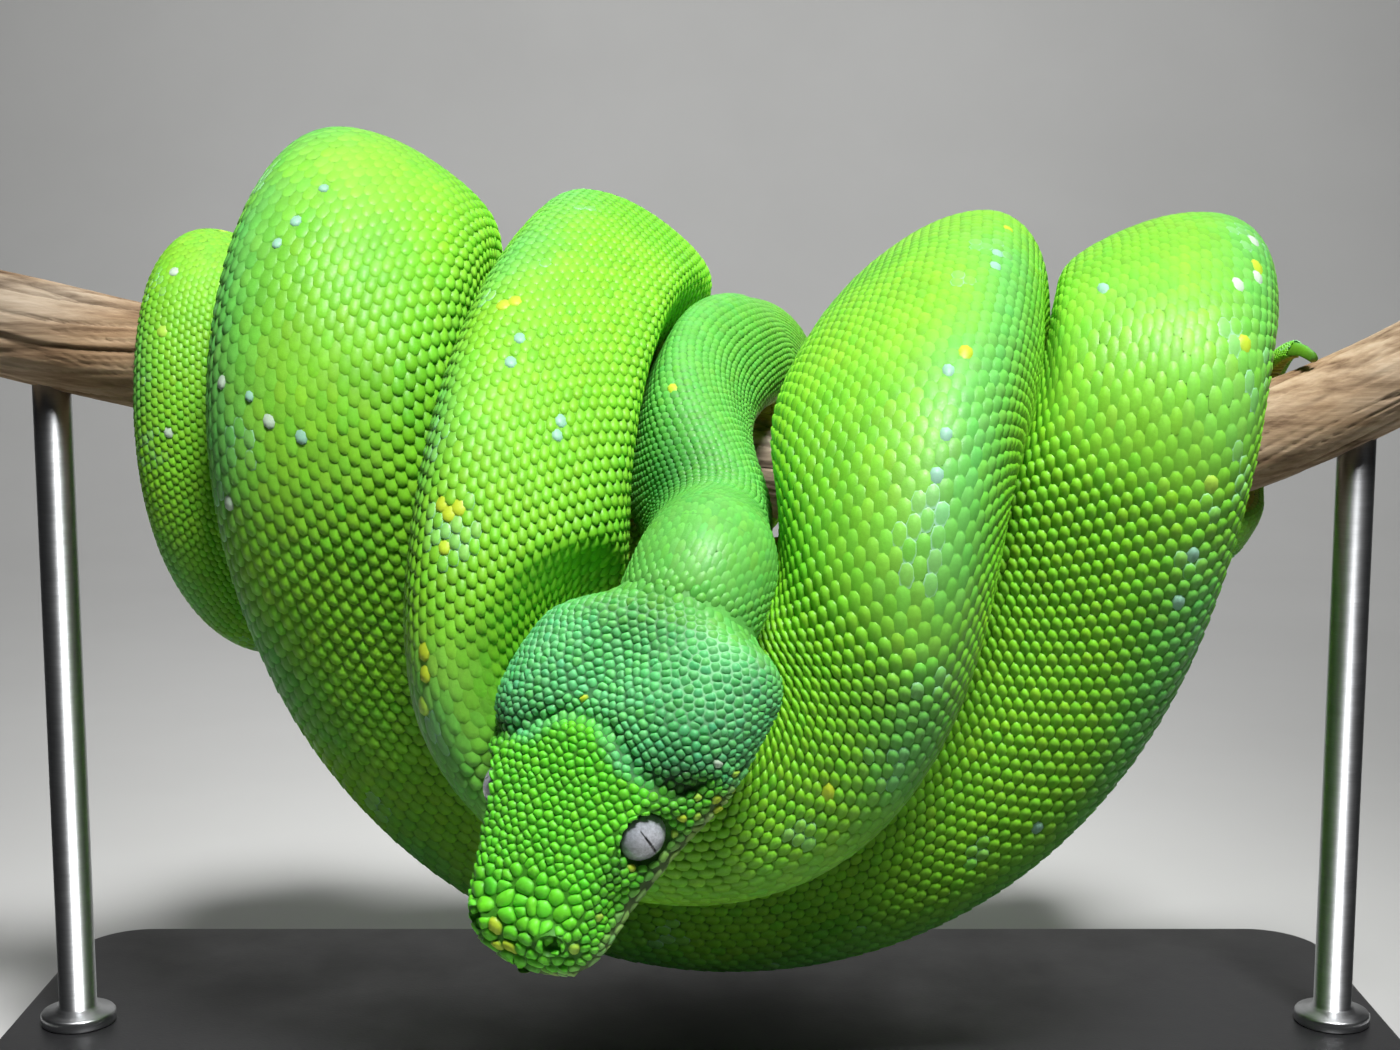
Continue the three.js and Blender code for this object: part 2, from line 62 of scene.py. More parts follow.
# The snake and its perch are placed about the middle of the coil, which stands here.
COIL_PLACE = np.array([0.0, 20.0, 106.0])
PERCH = {
    "left_end": -134, "right_end": 136, "radius": 10, "low_x": 53, "low_z": 8,
    "left_rise": 0.012, "left_power": 1.5, "right_rise": 0.0035, "right_power": 2,
}

# Where the body crosses the top of the perch: place along it, half thickness, height of the
# centreline over its surface, and how far the spine leans along +X.
CROSSINGS = {
    "neck": (8, 10.3, 8.8, 0),
    "left_inner": (-14.5, 19, 18.6, -0.35),
    "right_inner": (46.5, 20.5, 19.2, 0.4),
    "left_outer": (-58, 22, 19.5, -0.4),
    "right_outer": (85.5, 20, 17, 0.7),
    "tail": (-87, 10, 8.5, -0.5),
}

# The loops between the crossings: side (-1 in front), reach from the perch, lowest height,
# and at the flanks or at flank, bottom and flank: shift along X, height, roll, half thickness.
LOOPS = [
    dict(name="back_first", ends=("neck", "left_inner"), side=1, reach=32, tuck=0, bottom=-2,
         shift=(5, -8), height=(20, 22), roll=(40, 60, 40), radii=(12, 13.5, 15.5)),
    dict(name="front_inner", ends=("left_inner", "right_inner"), side=-1, reach=72, tuck=5, bottom=-30,
         shift=(-14.5, -19.5), height=(-8, 6), roll=(45, 65, 17), radii=(16.5, 18.5, 20)),
    dict(name="back_second", ends=("right_inner", "left_outer"), side=1, reach=38, tuck=0, bottom=-36,
         shift=(5, -6), height=(5, 5), roll=(40, 60, 40), radii=(20, 20.5, 21)),
    dict(name="front_outer", ends=("left_outer", "right_outer"), side=-1, reach=33, tuck=22, bottom=-58,
         shift=(-2, -13.5), height=(15, 20), roll=(60, 75, 40), radii=(21, 21.5, 21)),
    dict(name="back_third", ends=("right_outer", "tail"), side=1, reach=38, tuck=0, bottom=-72,
         shift=(0, 2), height=(5, 5), roll=(40, 60, 40), radii=(19, 16.5, 11.5)),
]
SHOULDER_STEPS = (30, 60)
SHOULDER_EASE = 1.4
LOOP_STEP = 22.5

# The neck's first keys lie on the head's axis, this far ahead of the nape. Then come the S of
# the neck back to its crossing and the tail's drop in front of the perch: centre and half
# thickness.
NAPE_STEPS = (10, 0, -8)
NECK_BENDS = [
    (2.3, -73, 4.5, 11.0), (2.8, -64, 9, 11.4), (-0.8, -55, 14, 11.8), (-4.0, -44, 21, 12.5),
    (-3, -31, 27.5, 12.4), (2.2, -19, 31, 11.4), (5.5, -9, 31.5, 10.5),
]
TAIL_DROP = [
    (-88, -12, 41, 9.8), (-88.5, -19, 26, 9.8), (-88, -19, 8, 9.6), (-84, -14, -8, 9.3),
    (-75, -4, -17, 9),
]
TAIL_RUN = {"start": -58, "end": 84, "y": 2, "below": 3, "radii": (8.6, 5.8), "steps": 7}
TAIL_WIND = {
    "start": 100, "end": 113, "radii": (5.2, 1.6), "angle": -90, "turn": 235, "steps": 8, "gap": 0.6,
}

HEAD = {
    "length": 55, "root": (-4.5, -87, 0.5), "aim": (-0.38, -0.36, -0.88), "roll": 32,
    "nape_radius": 10.7, "nape_shift": 3.4, "cheek_shift": 2.5, "boxiness": 0.92,
    "groove_depth": 2, "groove_width": 4.5, "mouth_height": -3.2, "eye_at": 0.59,
    "eye_out": 10.8, "eye_height": 3.2, "eye_radius": 3.9,
}
# Place from the nape (0) to the snout (1), half width, height above and depth below the axis.
HEAD_OUTLINE = [
    (0.00, 11.2, 10.4, 10.0), (0.06, 17.0, 11.4, 10.4), (0.14, 19.7, 12.0, 10.8),
    (0.26, 20.2, 12.2, 11.2), (0.42, 19.4, 11.2, 10.6), (0.60, 15.2, 9.8, 9.2),
    (0.76, 12.4, 8.4, 7.4), (0.90, 10.8, 7.2, 6.2), (0.97, 8.4, 5.4, 4.8), (1.00, 2.4, 1.8, 1.6),
]

# The body is worked out at stations this far apart, with this many points round each, and its
# bend is taken over this many stations to each side.
STATION_STEP = 1.0
ROUND = 96
BEND_REACH = 6
# The gap left where the body touches something, and how softly it flattens there.
CONTACT_GAP = 0.55
SOFTNESS = 1.2
# In half thicknesses: stretches of the body nearer than this along it don't press on each
# other, and nothing presses from further than this.
NEIGHBOUR_REACH = 2.4
PRESS_REACH = 1.3
# Inside a bend the body reaches at most this share of the way to the bend's middle.
INNER_BEND = 0.9
# From one scale to the next along a straight length of the thickest part of the body.
SCALE_PITCH = 2.75


def unit(vectors):
    """The vectors at length 1."""
    return vectors / np.linalg.norm(vectors, axis=-1, keepdims=True)


def lerp(a, b, along):
    """The value this far along from a to b."""
    return a + (b - a) * along


def smooth(value, start, end):
    """0 before start, 1 after end, and a smooth step between them."""
    t = np.clip((value - start) / (end - start), 0.0, 1.0)
    return t * t * (3 - 2 * t)


def bell(value, middle, spread):
    """1 at the middle, falling off to both sides."""
    return np.exp(-(((value - middle) / spread) ** 2))


def travelled(points):
    """How far each point of a line is from its start, along it."""
    return np.concatenate([[0], np.cumsum(np.linalg.norm(np.diff(points, axis=0), axis=1))])


def perch_height(x):
    """Height of the perch's axis, which sags to its lowest place and rises to both ends."""
    far = np.abs(x - PERCH["low_x"])
    left = PERCH["left_rise"] * far ** PERCH["left_power"]
    right = PERCH["right_rise"] * far ** PERCH["right_power"]
    return PERCH["low_z"] + np.where(x < PERCH["low_x"], left, right)


def key(centre, spine, radius):
    """A key of the route: centre, direction of the spine and half thickness."""
    return np.array([*centre, *unit(np.array(spine, float)), radius], float)


def crossing_height(crossing):
    """Height of the centreline where it crosses the perch."""
    x, _, lift, _ = crossing
    return float(perch_height(x)) + PERCH["radius"] + lift


def crossing_key(crossing):
    """The key of the route on top of the perch."""
    x, radius, _, lean = crossing
    return key((x, 0, crossing_height(crossing)), (lean, 0, 1), radius)


def roll_at(loop, turn):
    """The spine's roll at a turn of the hanging part, 0 at the first flank, PI at the second."""
    flanks = lerp(loop["roll"][0], loop["roll"][2], (1 - math.cos(turn)) / 2)
    return math.radians(lerp(flanks, loop["roll"][1], math.sin(turn) ** 2))


def shoulder_key(loop, end, outward, degrees):
    """A key between a crossing (bend 0) and its flank (bend 90); end is 0 or 1."""
    crossing = CROSSINGS[loop["ends"][end]]
    bend = math.radians(degrees)
    roll = roll_at(loop, end * math.pi)
    spine = unit(np.array([crossing[3], 0, 1.0])) * math.cos(bend)
    spine[0] += math.sin(bend) * math.sin(roll) * outward
    spine[1] += math.sin(bend) * math.cos(roll) * loop["side"]
    centre = (
        crossing[0] + loop["shift"][end] * math.sin(bend) ** SHOULDER_EASE,
        loop["side"] * loop["reach"] * math.sin(bend),
        lerp(loop["height"][end], crossing_height(crossing), math.cos(bend)),
    )
    return key(centre, spine, lerp(crossing[1], loop["radii"][2 * end], math.sin(bend)))


def loop_keys(loop):
    """The keys of one loop, from just after its first crossing to its second."""
    flanks = [CROSSINGS[name][0] + shift for name, shift in zip(loop["ends"], loop["shift"])]
    middle = (flanks[0] + flanks[1]) / 2
    half = (flanks[1] - flanks[0]) / 2
    onward = math.copysign(1, half)
    keys = [shoulder_key(loop, 0, -onward, degrees) for degrees in SHOULDER_STEPS]
    for degrees in np.arange(0, 180.1, LOOP_STEP):
        turn = math.radians(degrees)
        along = (1 - math.cos(turn)) / 2
        level = lerp(*loop["height"], along)
        roll = roll_at(loop, turn)
        centre = (
            middle - half * math.cos(turn),
            loop["side"] * (loop["reach"] - loop["tuck"] * math.sin(turn)),
            lerp(level, loop["bottom"], math.sin(turn)),
        )
        spine = (
            -onward * math.cos(turn) * math.sin(roll),
            loop["side"] * math.cos(roll),
            -math.sin(turn) * math.sin(roll),
        )
        flank = lerp(loop["radii"][0], loop["radii"][2], along)
        keys.append(key(centre, spine, lerp(flank, loop["radii"][1], math.sin(turn) ** 2)))
    keys += [shoulder_key(loop, 1, onward, degrees) for degrees in reversed(SHOULDER_STEPS)]
    keys.append(crossing_key(CROSSINGS[loop["ends"][1]]))
    return keys


def turned(vector, axis, angle):
    """A vector turned about an axis."""
    along = axis * axis.dot(vector)
    across = vector - along
    return along + across * math.cos(angle) + np.cross(axis, across) * math.sin(angle)


# The head's own directions: snout, crown and left side.
HEAD_ROOT = np.array(HEAD["root"])
SNOUT = unit(np.array(HEAD["aim"]))
CROWN = turned(unit(np.array([0, -1.0, 0]) + SNOUT * SNOUT[1]), SNOUT, math.radians(HEAD["roll"]))
LEFT_SIDE = np.cross(CROWN, SNOUT)
HEAD_TURN = np.array([LEFT_SIDE, CROWN, SNOUT])


def neck_keys():
    """The neck leaves the head along the head's axis and climbs to its crossing."""
    nape = HEAD_ROOT + LEFT_SIDE * HEAD["nape_shift"]
    keys = [key(nape + SNOUT * ahead, CROWN, HEAD["nape_radius"]) for ahead in NAPE_STEPS]
    keys += [key((x, y, z), (0, -0.5, 1), radius) for x, y, z, radius in NECK_BENDS]
    keys.append(crossing_key(CROSSINGS["neck"]))
    return keys


def tail_keys():
    """The tail drops in front of the perch, runs back under it and winds round its far end."""
    keys = []
    for i, (x, y, z, radius) in enumerate(TAIL_DROP):
        low = i / (len(TAIL_DROP) - 1)
        keys.append(key((x, y, z), (low - 1, -0.7 * (1 - low), -low), radius))
    drop = len(keys)
    for i in range(TAIL_RUN["steps"] + 1):
        along = i / TAIL_RUN["steps"]
        x = lerp(TAIL_RUN["start"], TAIL_RUN["end"], along)
        radius = lerp(*TAIL_RUN["radii"], along)
        z = float(perch_height(x)) - PERCH["radius"] - radius - TAIL_RUN["below"]
        keys.append(key((x, TAIL_RUN["y"], z), (0, -0.3, -1), radius))
    for i in range(TAIL_WIND["steps"] + 1):
        along = i / TAIL_WIND["steps"]
        x = lerp(TAIL_WIND["start"], TAIL_WIND["end"], along)
        radius = lerp(*TAIL_WIND["radii"], along)
        angle = math.radians(TAIL_WIND["angle"] + TAIL_WIND["turn"] * along)
        out = np.array([0, math.cos(angle), math.sin(angle)])
        centre = np.array([x, 0, float(perch_height(x))])
        centre = centre + out * (PERCH["radius"] + radius + TAIL_WIND["gap"])
        keys.append(key(centre, out, radius))
    return keys, drop


def spline(keys, per_key=24):
    """A uniform cubic B-spline through the keys, with the place counted in keys added."""
    t = np.arange(per_key)[:, None] / per_key
    weights = [(1 - t) ** 3 / 6, (3 * t**3 - 6 * t**2 + 4) / 6,
               (-3 * t**3 + 3 * t**2 + 3 * t + 1) / 6, t**3 / 6]
    rows = []
    for i in range(len(keys) - 3):
        values = sum(weight * keys[i + k] for k, weight in enumerate(weights))
        rows.append(np.hstack([values, i + 1 + t]))
    return np.vstack(rows)


class Route:
    """The centreline of the body at even stations, with its frames and places along it."""

    def __init__(self):
        keys = neck_keys()
        ends = [("neck", len(keys) - 1)]
        for loop in LOOPS:
            keys += loop_keys(loop)
            ends.append((loop["name"], len(keys) - 1))
        tail, drop = tail_keys()
        ends.append(("tail_root", len(keys) + drop))
        keys += tail
        points = spline(keys)
        far = travelled(points[:, :3])
        self.s = np.arange(0, far[-1], STATION_STEP)
        values = np.stack([np.interp(self.s, far, column) for column in points.T], axis=1)
        self.centre = values[:, :3]
        self.radius = values[:, 6]
        self.key = values[:, 7]
        self.tangent = unit(np.gradient(self.centre, axis=0))
        spine = values[:, 3:6]
        spine = spine - self.tangent * np.sum(spine * self.tangent, axis=1, keepdims=True)
        self.spine = unit(spine)
        self.side = np.cross(self.tangent, self.spine)
        padded = np.pad(self.centre, ((BEND_REACH, BEND_REACH), (0, 0)), mode="edge")
        bend = padded[: -2 * BEND_REACH] + padded[2 * BEND_REACH :] - 2 * self.centre
        self.bend = bend / (BEND_REACH * STATION_STEP) ** 2
        self.bend[:BEND_REACH] = self.bend[BEND_REACH]
        self.bend[-BEND_REACH:] = self.bend[-BEND_REACH - 1]
        self.length = float(self.s[-1])
        self.ends = {name: float(np.interp(place, self.key, self.s)) for name, place in ends}
        self.ends["tail"] = self.length


def relaxed_radius(radius, angle):
    """The free section: a rounded triangle with a ridge along the spine and a flat belly."""
    ridge = 0.07 * bell(angle, 0, 0.34)
    sides = 0.02 * np.cos(2 * angle) + 0.065 * np.cos(3 * angle)
    return radius * (1 + sides + ridge)


def head_outline(t):
    """Half width, height and depth of the head at t, from the nape (0) to the snout (1)."""
    rows = np.array(HEAD_OUTLINE)
    return [np.interp(t, rows[:, 0], rows[:, column]) for column in (1, 2, 3)]


def perch_axis():
    """Points along the perch's axis."""
    x = np.arange(PERCH["left_end"], PERCH["right_end"] + 0.1, 2.0)
    return np.stack([x, np.zeros_like(x), perch_height(x)], axis=1)


def head_axis():
    """Points along the head's axis, with half its width and height at each."""
    t = np.arange(0.15, 1, 0.05)
    half_width, above, below = head_outline(t)
    return HEAD_ROOT + SNOUT * (t * HEAD["length"])[:, None], half_width, np.maximum(above, below)


def press_limits(route, angles):
    """How far each section may reach before it meets its neighbours, the perch or the head."""
    near, near_s, near_radius = route.centre[::2], route.s[::2], route.radius[::2]
    perch = perch_axis()
    skull, half_width, half_height = head_axis()
    targets = np.vstack([near, perch, skull])
    own = slice(0, len(near))
    rest = slice(len(near), len(near) + len(perch))
    last = slice(len(near) + len(perch), None)
    limits = np.empty((len(route.s), len(angles)))
    for i, centre in enumerate(route.centre):
        radius = route.radius[i]
        directions = (np.outer(np.cos(angles), route.spine[i])
                      + np.outer(np.sin(angles), route.side[i]))
        towards = targets - centre
        apart = np.linalg.norm(towards, axis=1)
        towards = towards / np.maximum(apart, 1e-6)[:, None]
        distance = np.full(len(apart), np.inf)
        distance[own] = apart[own] * radius / (radius + near_radius) - CONTACT_GAP / 2
        clear = NEIGHBOUR_REACH * np.maximum(radius, near_radius)
        distance[own][np.abs(near_s - route.s[i]) < clear] = np.inf
        distance[rest] = apart[rest] - PERCH["radius"] - CONTACT_GAP
        if route.s[i] > route.ends["neck"]:
            spread = np.hypot(half_width * (towards[last] @ LEFT_SIDE),
                              half_height * (towards[last] @ CROWN))
            distance[last] = apart[last] - CONTACT_GAP - spread
        close = PRESS_REACH * radius
        chosen = (distance < close) & (apart < 4 * close)
        limits[i] = INNER_BEND / np.maximum(directions @ route.bend[i], 0.001)
        if chosen.any():
            facing = directions @ towards[chosen].T
            planes = np.where(facing > 0.05, distance[chosen] / np.maximum(facing, 0.05), np.inf)
            limits[i] = np.minimum(limits[i], planes.min(axis=1))
    return limits


def soft_minimum(a, b):
    """The lesser of two lengths, rounded off where they cross."""
    low = np.minimum(a, b)
    return low - SOFTNESS * np.log1p(np.exp(-np.abs(a - b) / SOFTNESS))


def blurred(grid, reach, axis, wrap):
    """A grid evened out along one axis with a small bell."""
    weights = bell(np.arange(-2 * reach, 2 * reach + 1), 0, reach)
    weights /= weights.sum()
    mode = "wrap" if wrap else "edge"
    width = [(0, 0), (0, 0)]
    width[axis] = (2 * reach, 2 * reach)
    padded = np.pad(grid, width, mode=mode)
    size = grid.shape[axis]
    parts = (weight * np.take(padded, range(k, k + size), axis=axis)
             for k, weight in enumerate(weights))
    return sum(parts)


class Body:
    """The body's outer surface on a grid of stations and angles, angle 0 on the spine."""

    def __init__(self, route):
        self.route = route
        self.angles = np.arange(ROUND) * TURN / ROUND
        from_spine = np.minimum(self.angles, TURN - self.angles)
        round_neck = 1.03 * route.radius[:, None]
        free = relaxed_radius(route.radius[:, None], from_spine[None, :])
        free = lerp(round_neck, free, smooth(route.s, 5, 45)[:, None])
        limits = press_limits(route, self.angles)
        reach = np.maximum(soft_minimum(free, limits), 1.0)
        reach = blurred(blurred(reach, 1, 0, False), 1, 1, True)
        self.pressed = blurred(np.clip((free - reach) / 3.0, 0, 1), 1, 1, True)
        outward = (route.spine[:, None, :] * np.cos(self.angles)[None, :, None]
                   + route.side[:, None, :] * np.sin(self.angles)[None, :, None])
        self.place = route.centre[:, None, :] + outward * reach[:, :, None]
        along = np.gradient(self.place, axis=0)
        behind = np.roll(self.place, 1, axis=1)
        ahead = np.roll(self.place, -1, axis=1)
        self.stretch = np.linalg.norm(along, axis=2) / STATION_STEP
        self.across = np.linalg.norm(ahead - behind, axis=2) / (2 * TURN / ROUND)
        most = np.clip(self.stretch.max(axis=1), 1, 2.2)[:, None]
        slack = 0.5 + 0.5 * blurred(most, 6, 0, False)
        # The strain is 1 where the skin lies easy, more outside a bend and less inside it.
        self.strain = self.stretch / slack
        self.pitch = SCALE_PITCH * (route.radius / 21) ** 0.75 / slack[:, 0]
        normal = unit(np.cross(ahead - behind, along))
        flip = np.sum(normal * outward, axis=2) < 0
        normal[flip] *= -1
        self.normal = unit(blurred_vectors(normal))

    def sample(self, grid, s, angle):
        """A grid's value at any place along and round the body."""
        row = np.clip(s / STATION_STEP, 0, grid.shape[0] - 1.001)
        column = (angle / TURN * ROUND) % ROUND
        r0 = np.floor(row).astype(int)
        c0 = np.floor(column).astype(int) % ROUND
        c1 = (c0 + 1) % ROUND
        fr = row - r0
        fc = column - np.floor(column)
        if grid.ndim == 3:
            fr = fr[..., None]
            fc = fc[..., None]
        near = lerp(grid[r0, c0], grid[r0, c1], fc)
        far = lerp(grid[r0 + 1, c0], grid[r0 + 1, c1], fc)
        return lerp(near, far, fr)


def blurred_vectors(grid):
    """Directions on a grid, evened out a little both ways."""
    parts = [blurred(blurred(grid[:, :, axis], 1, 0, False), 1, 1, True) for axis in range(3)]
    return np.stack(parts, axis=2)


# ---------------------------------------------------------------- the head

HEAD_ROUND = 192
HEAD_ROWS = 190
MOUTH_HEIGHT = HEAD["mouth_height"]
EYE_PLACE = np.array([HEAD["eye_out"], HEAD["eye_height"], HEAD["eye_at"] * HEAD["length"]])
# Which way an eye looks, how wide its window is and how far out along its look that lies.
EYE_LOOK = unit(np.array([0.86, 0.36, 0.30]))
EYE_WINDOW = 3.45
WINDOW_OUT = 2.4
# The well round an eye: its floor under the eyeball's surface, its rim over the window's edge,
# how far it spreads, the share by which it fills a dip, and the fold and crease round it.
EYE_WELL = {"floor": 0.5, "rim": 0.35, "spread": 2.6, "fill": 0.6, "fold": 0.45, "crease": 0.3}
# The nostril: place along the head, angle from the crown, radius.
NOSTRIL = (0.925, 0.64, 0.85)
# Swellings (plus) and hollows (minus) of the head: height, place along it and its spread, angle
# from the crown and its spread.
HEAD_SWELLS = [
    (0.9, 0.56, 0.09, 0.95, 0.30),  # the brow
    (-0.9, 0.77, 0.08, 1.40, 0.28),  # the pit in front of the eye
    (-0.8, 0.46, 0.05, 1.22, 0.26),  # the hollow behind the eye
    (0.8, 0.915, 0.035, 0.40, 0.35),  # the top of the snout
    (-0.4, 0.33, 0.06, 0.0, 0.13),  # the furrow between the lobes
]


def mirrored(place, side):
    """A place or direction on the head's left side as it is (side 1) or mirrored (side -1)."""
    return place * np.array([side, 1, 1])


def head_world(points):
    """Points in the head's own frame (left side, crown, snout), turned into the coil's frame."""
    return HEAD_ROOT + points @ HEAD_TURN


def eased_outline(t):
    """The outline rows with their corners eased."""
    spread = 0.03
    parts = [np.stack(head_outline(np.clip(t + k * spread, 0, 1))) for k in (-1, -0.5, 0, 0.5, 1)]
    eased = sum(parts) / len(parts)
    sharp = np.stack(head_outline(t))
    return lerp(eased, sharp, smooth(t, 0.93, 0.99))


def bare_head(t, angle):
    """The head before its folds are added, as the outline rows give it."""
    half_width, above, below = eased_outline(t)
    shift = HEAD["cheek_shift"] * bell(t, 0.06, 0.20)
    sine, cosine = np.sin(angle), np.cos(angle)
    across = np.sign(sine) * np.abs(sine) ** HEAD["boxiness"]
    up = np.sign(cosine) * np.abs(cosine) ** HEAD["boxiness"]
    x = half_width * across
    lobes = bell(t, 0.22, 0.13)
    groove = HEAD["groove_depth"] * lobes * bell(x, 0, HEAD["groove_width"])
    y = np.where(up > 0, up * above - groove, up * below)
    return np.stack([x + shift, y, t * HEAD["length"]], axis=-1)


def mouth_line(z):
    """Height of the closed mouth's line at a distance along the head."""
    t = z / HEAD["length"]
    return MOUTH_HEIGHT - 0.8 * smooth(t, 0.6, 0.3) + 0.5 * smooth(t, 0.8, 0.98)


def lobe_edge(from_crown):
    """Where along the head the swollen lobes behind the forehead end, at an angle from the crown."""
    return 0.375 + 0.100 * smooth(from_crown, 0.0, 0.75) - 0.065 * smooth(from_crown, 0.95, 1.45)


def head_folds(points, angle, t):
    """How far the folds raise the head's surface, out along its normal."""
    from_crown = np.minimum(angle, TURN - angle)
    # The ridges along the snout and the furrow between them.
    rise = 0.5 * smooth(t, 0.62, 0.7) * smooth(t, 0.95, 0.88) * bell(from_crown, 0.85, 0.2)
    rise -= 0.35 * smooth(t, 0.5, 0.6) * bell(from_crown, 0, 0.12)
    for height, place, length, turn, spread in HEAD_SWELLS:
        rise += height * bell(t, place, length) * bell(from_crown, turn, spread)
    # The groove in front of the lobes, and the lobes.
    edge = lobe_edge(from_crown)
    rise -= 1.0 * bell(t, edge, 0.028) * smooth(from_crown, 1.5, 1.1)
    rise += 0.5 * bell(t, edge - 0.10, 0.06) * bell(from_crown, 0.75, 0.35)
    # The closed mouth between full lips.
    lip = smooth(t, 0.24, 0.34) * (from_crown > 0.7)
    above = points[..., 1] - mouth_line(points[..., 2])
    rise -= 0.8 * lip * bell(above, 0, 0.45)
    rise += 0.35 * lip * (bell(above, 1.6, 1.0) + bell(above, -1.6, 1.0))
    # The nostrils, each with a raised rim.
    place, turn, radius = NOSTRIL
    far = np.hypot((t - place) * HEAD["length"], (from_crown - turn) * 7.0)
    return rise + 0.5 * bell(far, 1.5, 0.6) - 1.3 * smooth(far, radius + 0.5, radius - 0.4)


def open_eyes(points):
    """Opens the head round the eyes: a well down to the eyeball, with a raised rim."""
    for side in (-1, 1):
        centre, look = mirrored(EYE_PLACE, side), mirrored(EYE_LOOK, side)
        offset = points - centre
        depth = offset @ look
        across = offset - depth[..., None] * look
        far = np.linalg.norm(across, axis=-1)
        inside = far < EYE_WINDOW
        ball = np.sqrt(np.maximum(HEAD["eye_radius"] ** 2 - far**2, 0.0))
        rim = math.sqrt(HEAD["eye_radius"] ** 2 - EYE_WINDOW**2) + EYE_WELL["rim"]
        well = np.where(inside, ball - EYE_WELL["floor"], rim)
        share = np.where(inside, 1.0, smooth(far, EYE_WINDOW + EYE_WELL["spread"], EYE_WINDOW))
        share = np.where((depth < well) & ~inside, EYE_WELL["fill"] * share, share)
        moved = lerp(depth, well, share)
        moved += EYE_WELL["fold"] * bell(far, EYE_WINDOW + 0.9, 0.5)
        moved -= EYE_WELL["crease"] * bell(far, EYE_WINDOW + 0.1, 0.3)
        moved = np.where(depth > 0, moved, depth)
        points = centre + across + moved[..., None] * look
    return points


class Head:
    """The head's outer surface on a grid, from the nape (row 0) to the snout."""

    def __init__(self, body):
        rows = np.arange(HEAD_ROWS + 1) / HEAD_ROWS
        self.t = np.sin(math.pi / 2 * rows**0.95)
        self.angles = np.arange(HEAD_ROUND) * TURN / HEAD_ROUND
        t, angle = np.meshgrid(self.t, self.angles, indexing="ij")
        points = bare_head(t, angle)
        normal = self.normals(points)
        points = points + normal * head_folds(points, angle, t)[..., None]
        points = open_eyes(points)
        world = head_world(points)
        nape = body.sample(body.place, np.zeros(HEAD_ROUND), self.angles)
        drift = nape - world[0]
        hold = smooth(self.t, 0.13, 0.0)
        world = world + drift[None] * hold[:, None, None]
        self.place = world
        self.local = (world - HEAD_ROOT) @ HEAD_TURN.T
        self.normal = self.normals(world)

    @staticmethod
    def normals(points):
        """Outward directions of a grid of points."""
        along = np.gradient(points, axis=0)
        across = np.roll(points, -1, axis=1) - np.roll(points, 1, axis=1)
        normal = np.cross(along, across)
        normal /= np.maximum(np.linalg.norm(normal, axis=-1, keepdims=True), 1e-9)
        middle = points.mean(axis=1, keepdims=True)
        if np.sum(normal * (points - middle)) < 0:
            normal = -normal
        return normal


@cache
def shapes():
    """The route, body and head, worked out once."""
    route = Route()
    body = Body(route)
    return route, body, Head(body)


# ---------------------------------------------------------------- colours of the snake

LIME = np.array([0.25, 0.70, 0.030])
DEEP_LIME = np.array([0.17, 0.60, 0.022])
PALE_LIME = np.array([0.34, 0.79, 0.08])
BACK_GREEN = np.array([0.17, 0.62, 0.13])
NECK_GREEN = np.array([0.14, 0.54, 0.09])
NECK_SHADE = np.array([0.035, 0.25, 0.045])
CROWN_GREEN = np.array([0.19, 0.78, 0.25])
JOWL_GREEN = np.array([0.12, 0.58, 0.19])
SNOUT_GREEN = np.array([0.18, 0.86, 0.040])
PATCH_GREEN = np.array([0.13, 0.72, 0.035])
# Painted shade for the hollows round the eyes.
HOLLOW_PAINTED_SHADE = np.array([0.030, 0.12, 0.030])
LIP_GREEN = np.array([0.33, 0.60, 0.16])
CREVICE_PALE = np.array([0.45, 0.85, 0.50])
BELLY_YELLOW = np.array([0.62, 0.68, 0.09])
CHIN_PALE = np.array([0.62, 0.60, 0.30])
SPOT_BLUE = np.array([0.46, 0.82, 0.60])
# The tint drifts over patches about this wide on the body and on the head, in millimetres.
BODY_DRIFT = 28.0
HEAD_DRIFT = 9.0
# Patches of the head, two of them painted shade in hollows: colour, strength, place along it and
# its spread, angle from the crown and its spread.
HEAD_PATCHES = [
    (PATCH_GREEN, 0.75, 0.43, 0.05, 0.2, 0.35),  # the bright forehead in front of the lobes
    (HOLLOW_PAINTED_SHADE, 0.85, 0.45, 0.06, 1.22, 0.26),  # painted shade in the hollow behind the eye
    (HOLLOW_PAINTED_SHADE, 0.60, 0.70, 0.05, 1.12, 0.14),  # painted shade in the pit in front of the eye
]


def wander(points, size):
    """Slow changes over the surface, from -1 to 1."""
    return np.array([noise.noise(Vector(point) / size) for point in points])


def mix(a, b, share):
    """A colour this share of the way from a to b, for many places at once."""
    share = np.asarray(share)[..., None]
    return a * (1 - share) + b * share


def signed(angle):
    """An angle from the spine, plus on the snake's left side and minus on its right."""
    return (angle + math.pi) % TURN - math.pi


def body_colour(route, s, angle, strain, drift):
    """The body's colour at places along and round it."""
    from_spine = np.minimum(angle % TURN, TURN - angle % TURN)
    colour = mix(LIME, DEEP_LIME, smooth(drift, -0.1, 0.5))
    colour = mix(colour, PALE_LIME, 0.45 * smooth(strain, 1.0, 1.4))
    colour = mix(colour, BACK_GREEN, 0.85 * bell(from_spine, 0, 0.36) * smooth(drift, -0.45, 0.3))
    colour = mix(colour, NECK_GREEN, smooth(s, route.ends["neck"] + 60, 40) * 0.9)
    # Painted shade: a dark band on the right side of the neck.
    band = bell(s, 32, 11) * bell(signed(angle), -0.8, 0.8)
    colour = mix(colour, NECK_SHADE, 0.8 * band)
    colour = mix(colour, PALE_LIME, 0.5 * smooth(from_spine, 1.7, 2.3))
    colour = mix(colour, BELLY_YELLOW, smooth(from_spine, 2.25, 2.6))
    return colour


def head_places(local):
    """Of places on the head: share of its length, angle from the crown, height over the mouth."""
    x, y, z = local.T
    return z / HEAD["length"], np.abs(np.arctan2(x, y)), y - mouth_line(z)


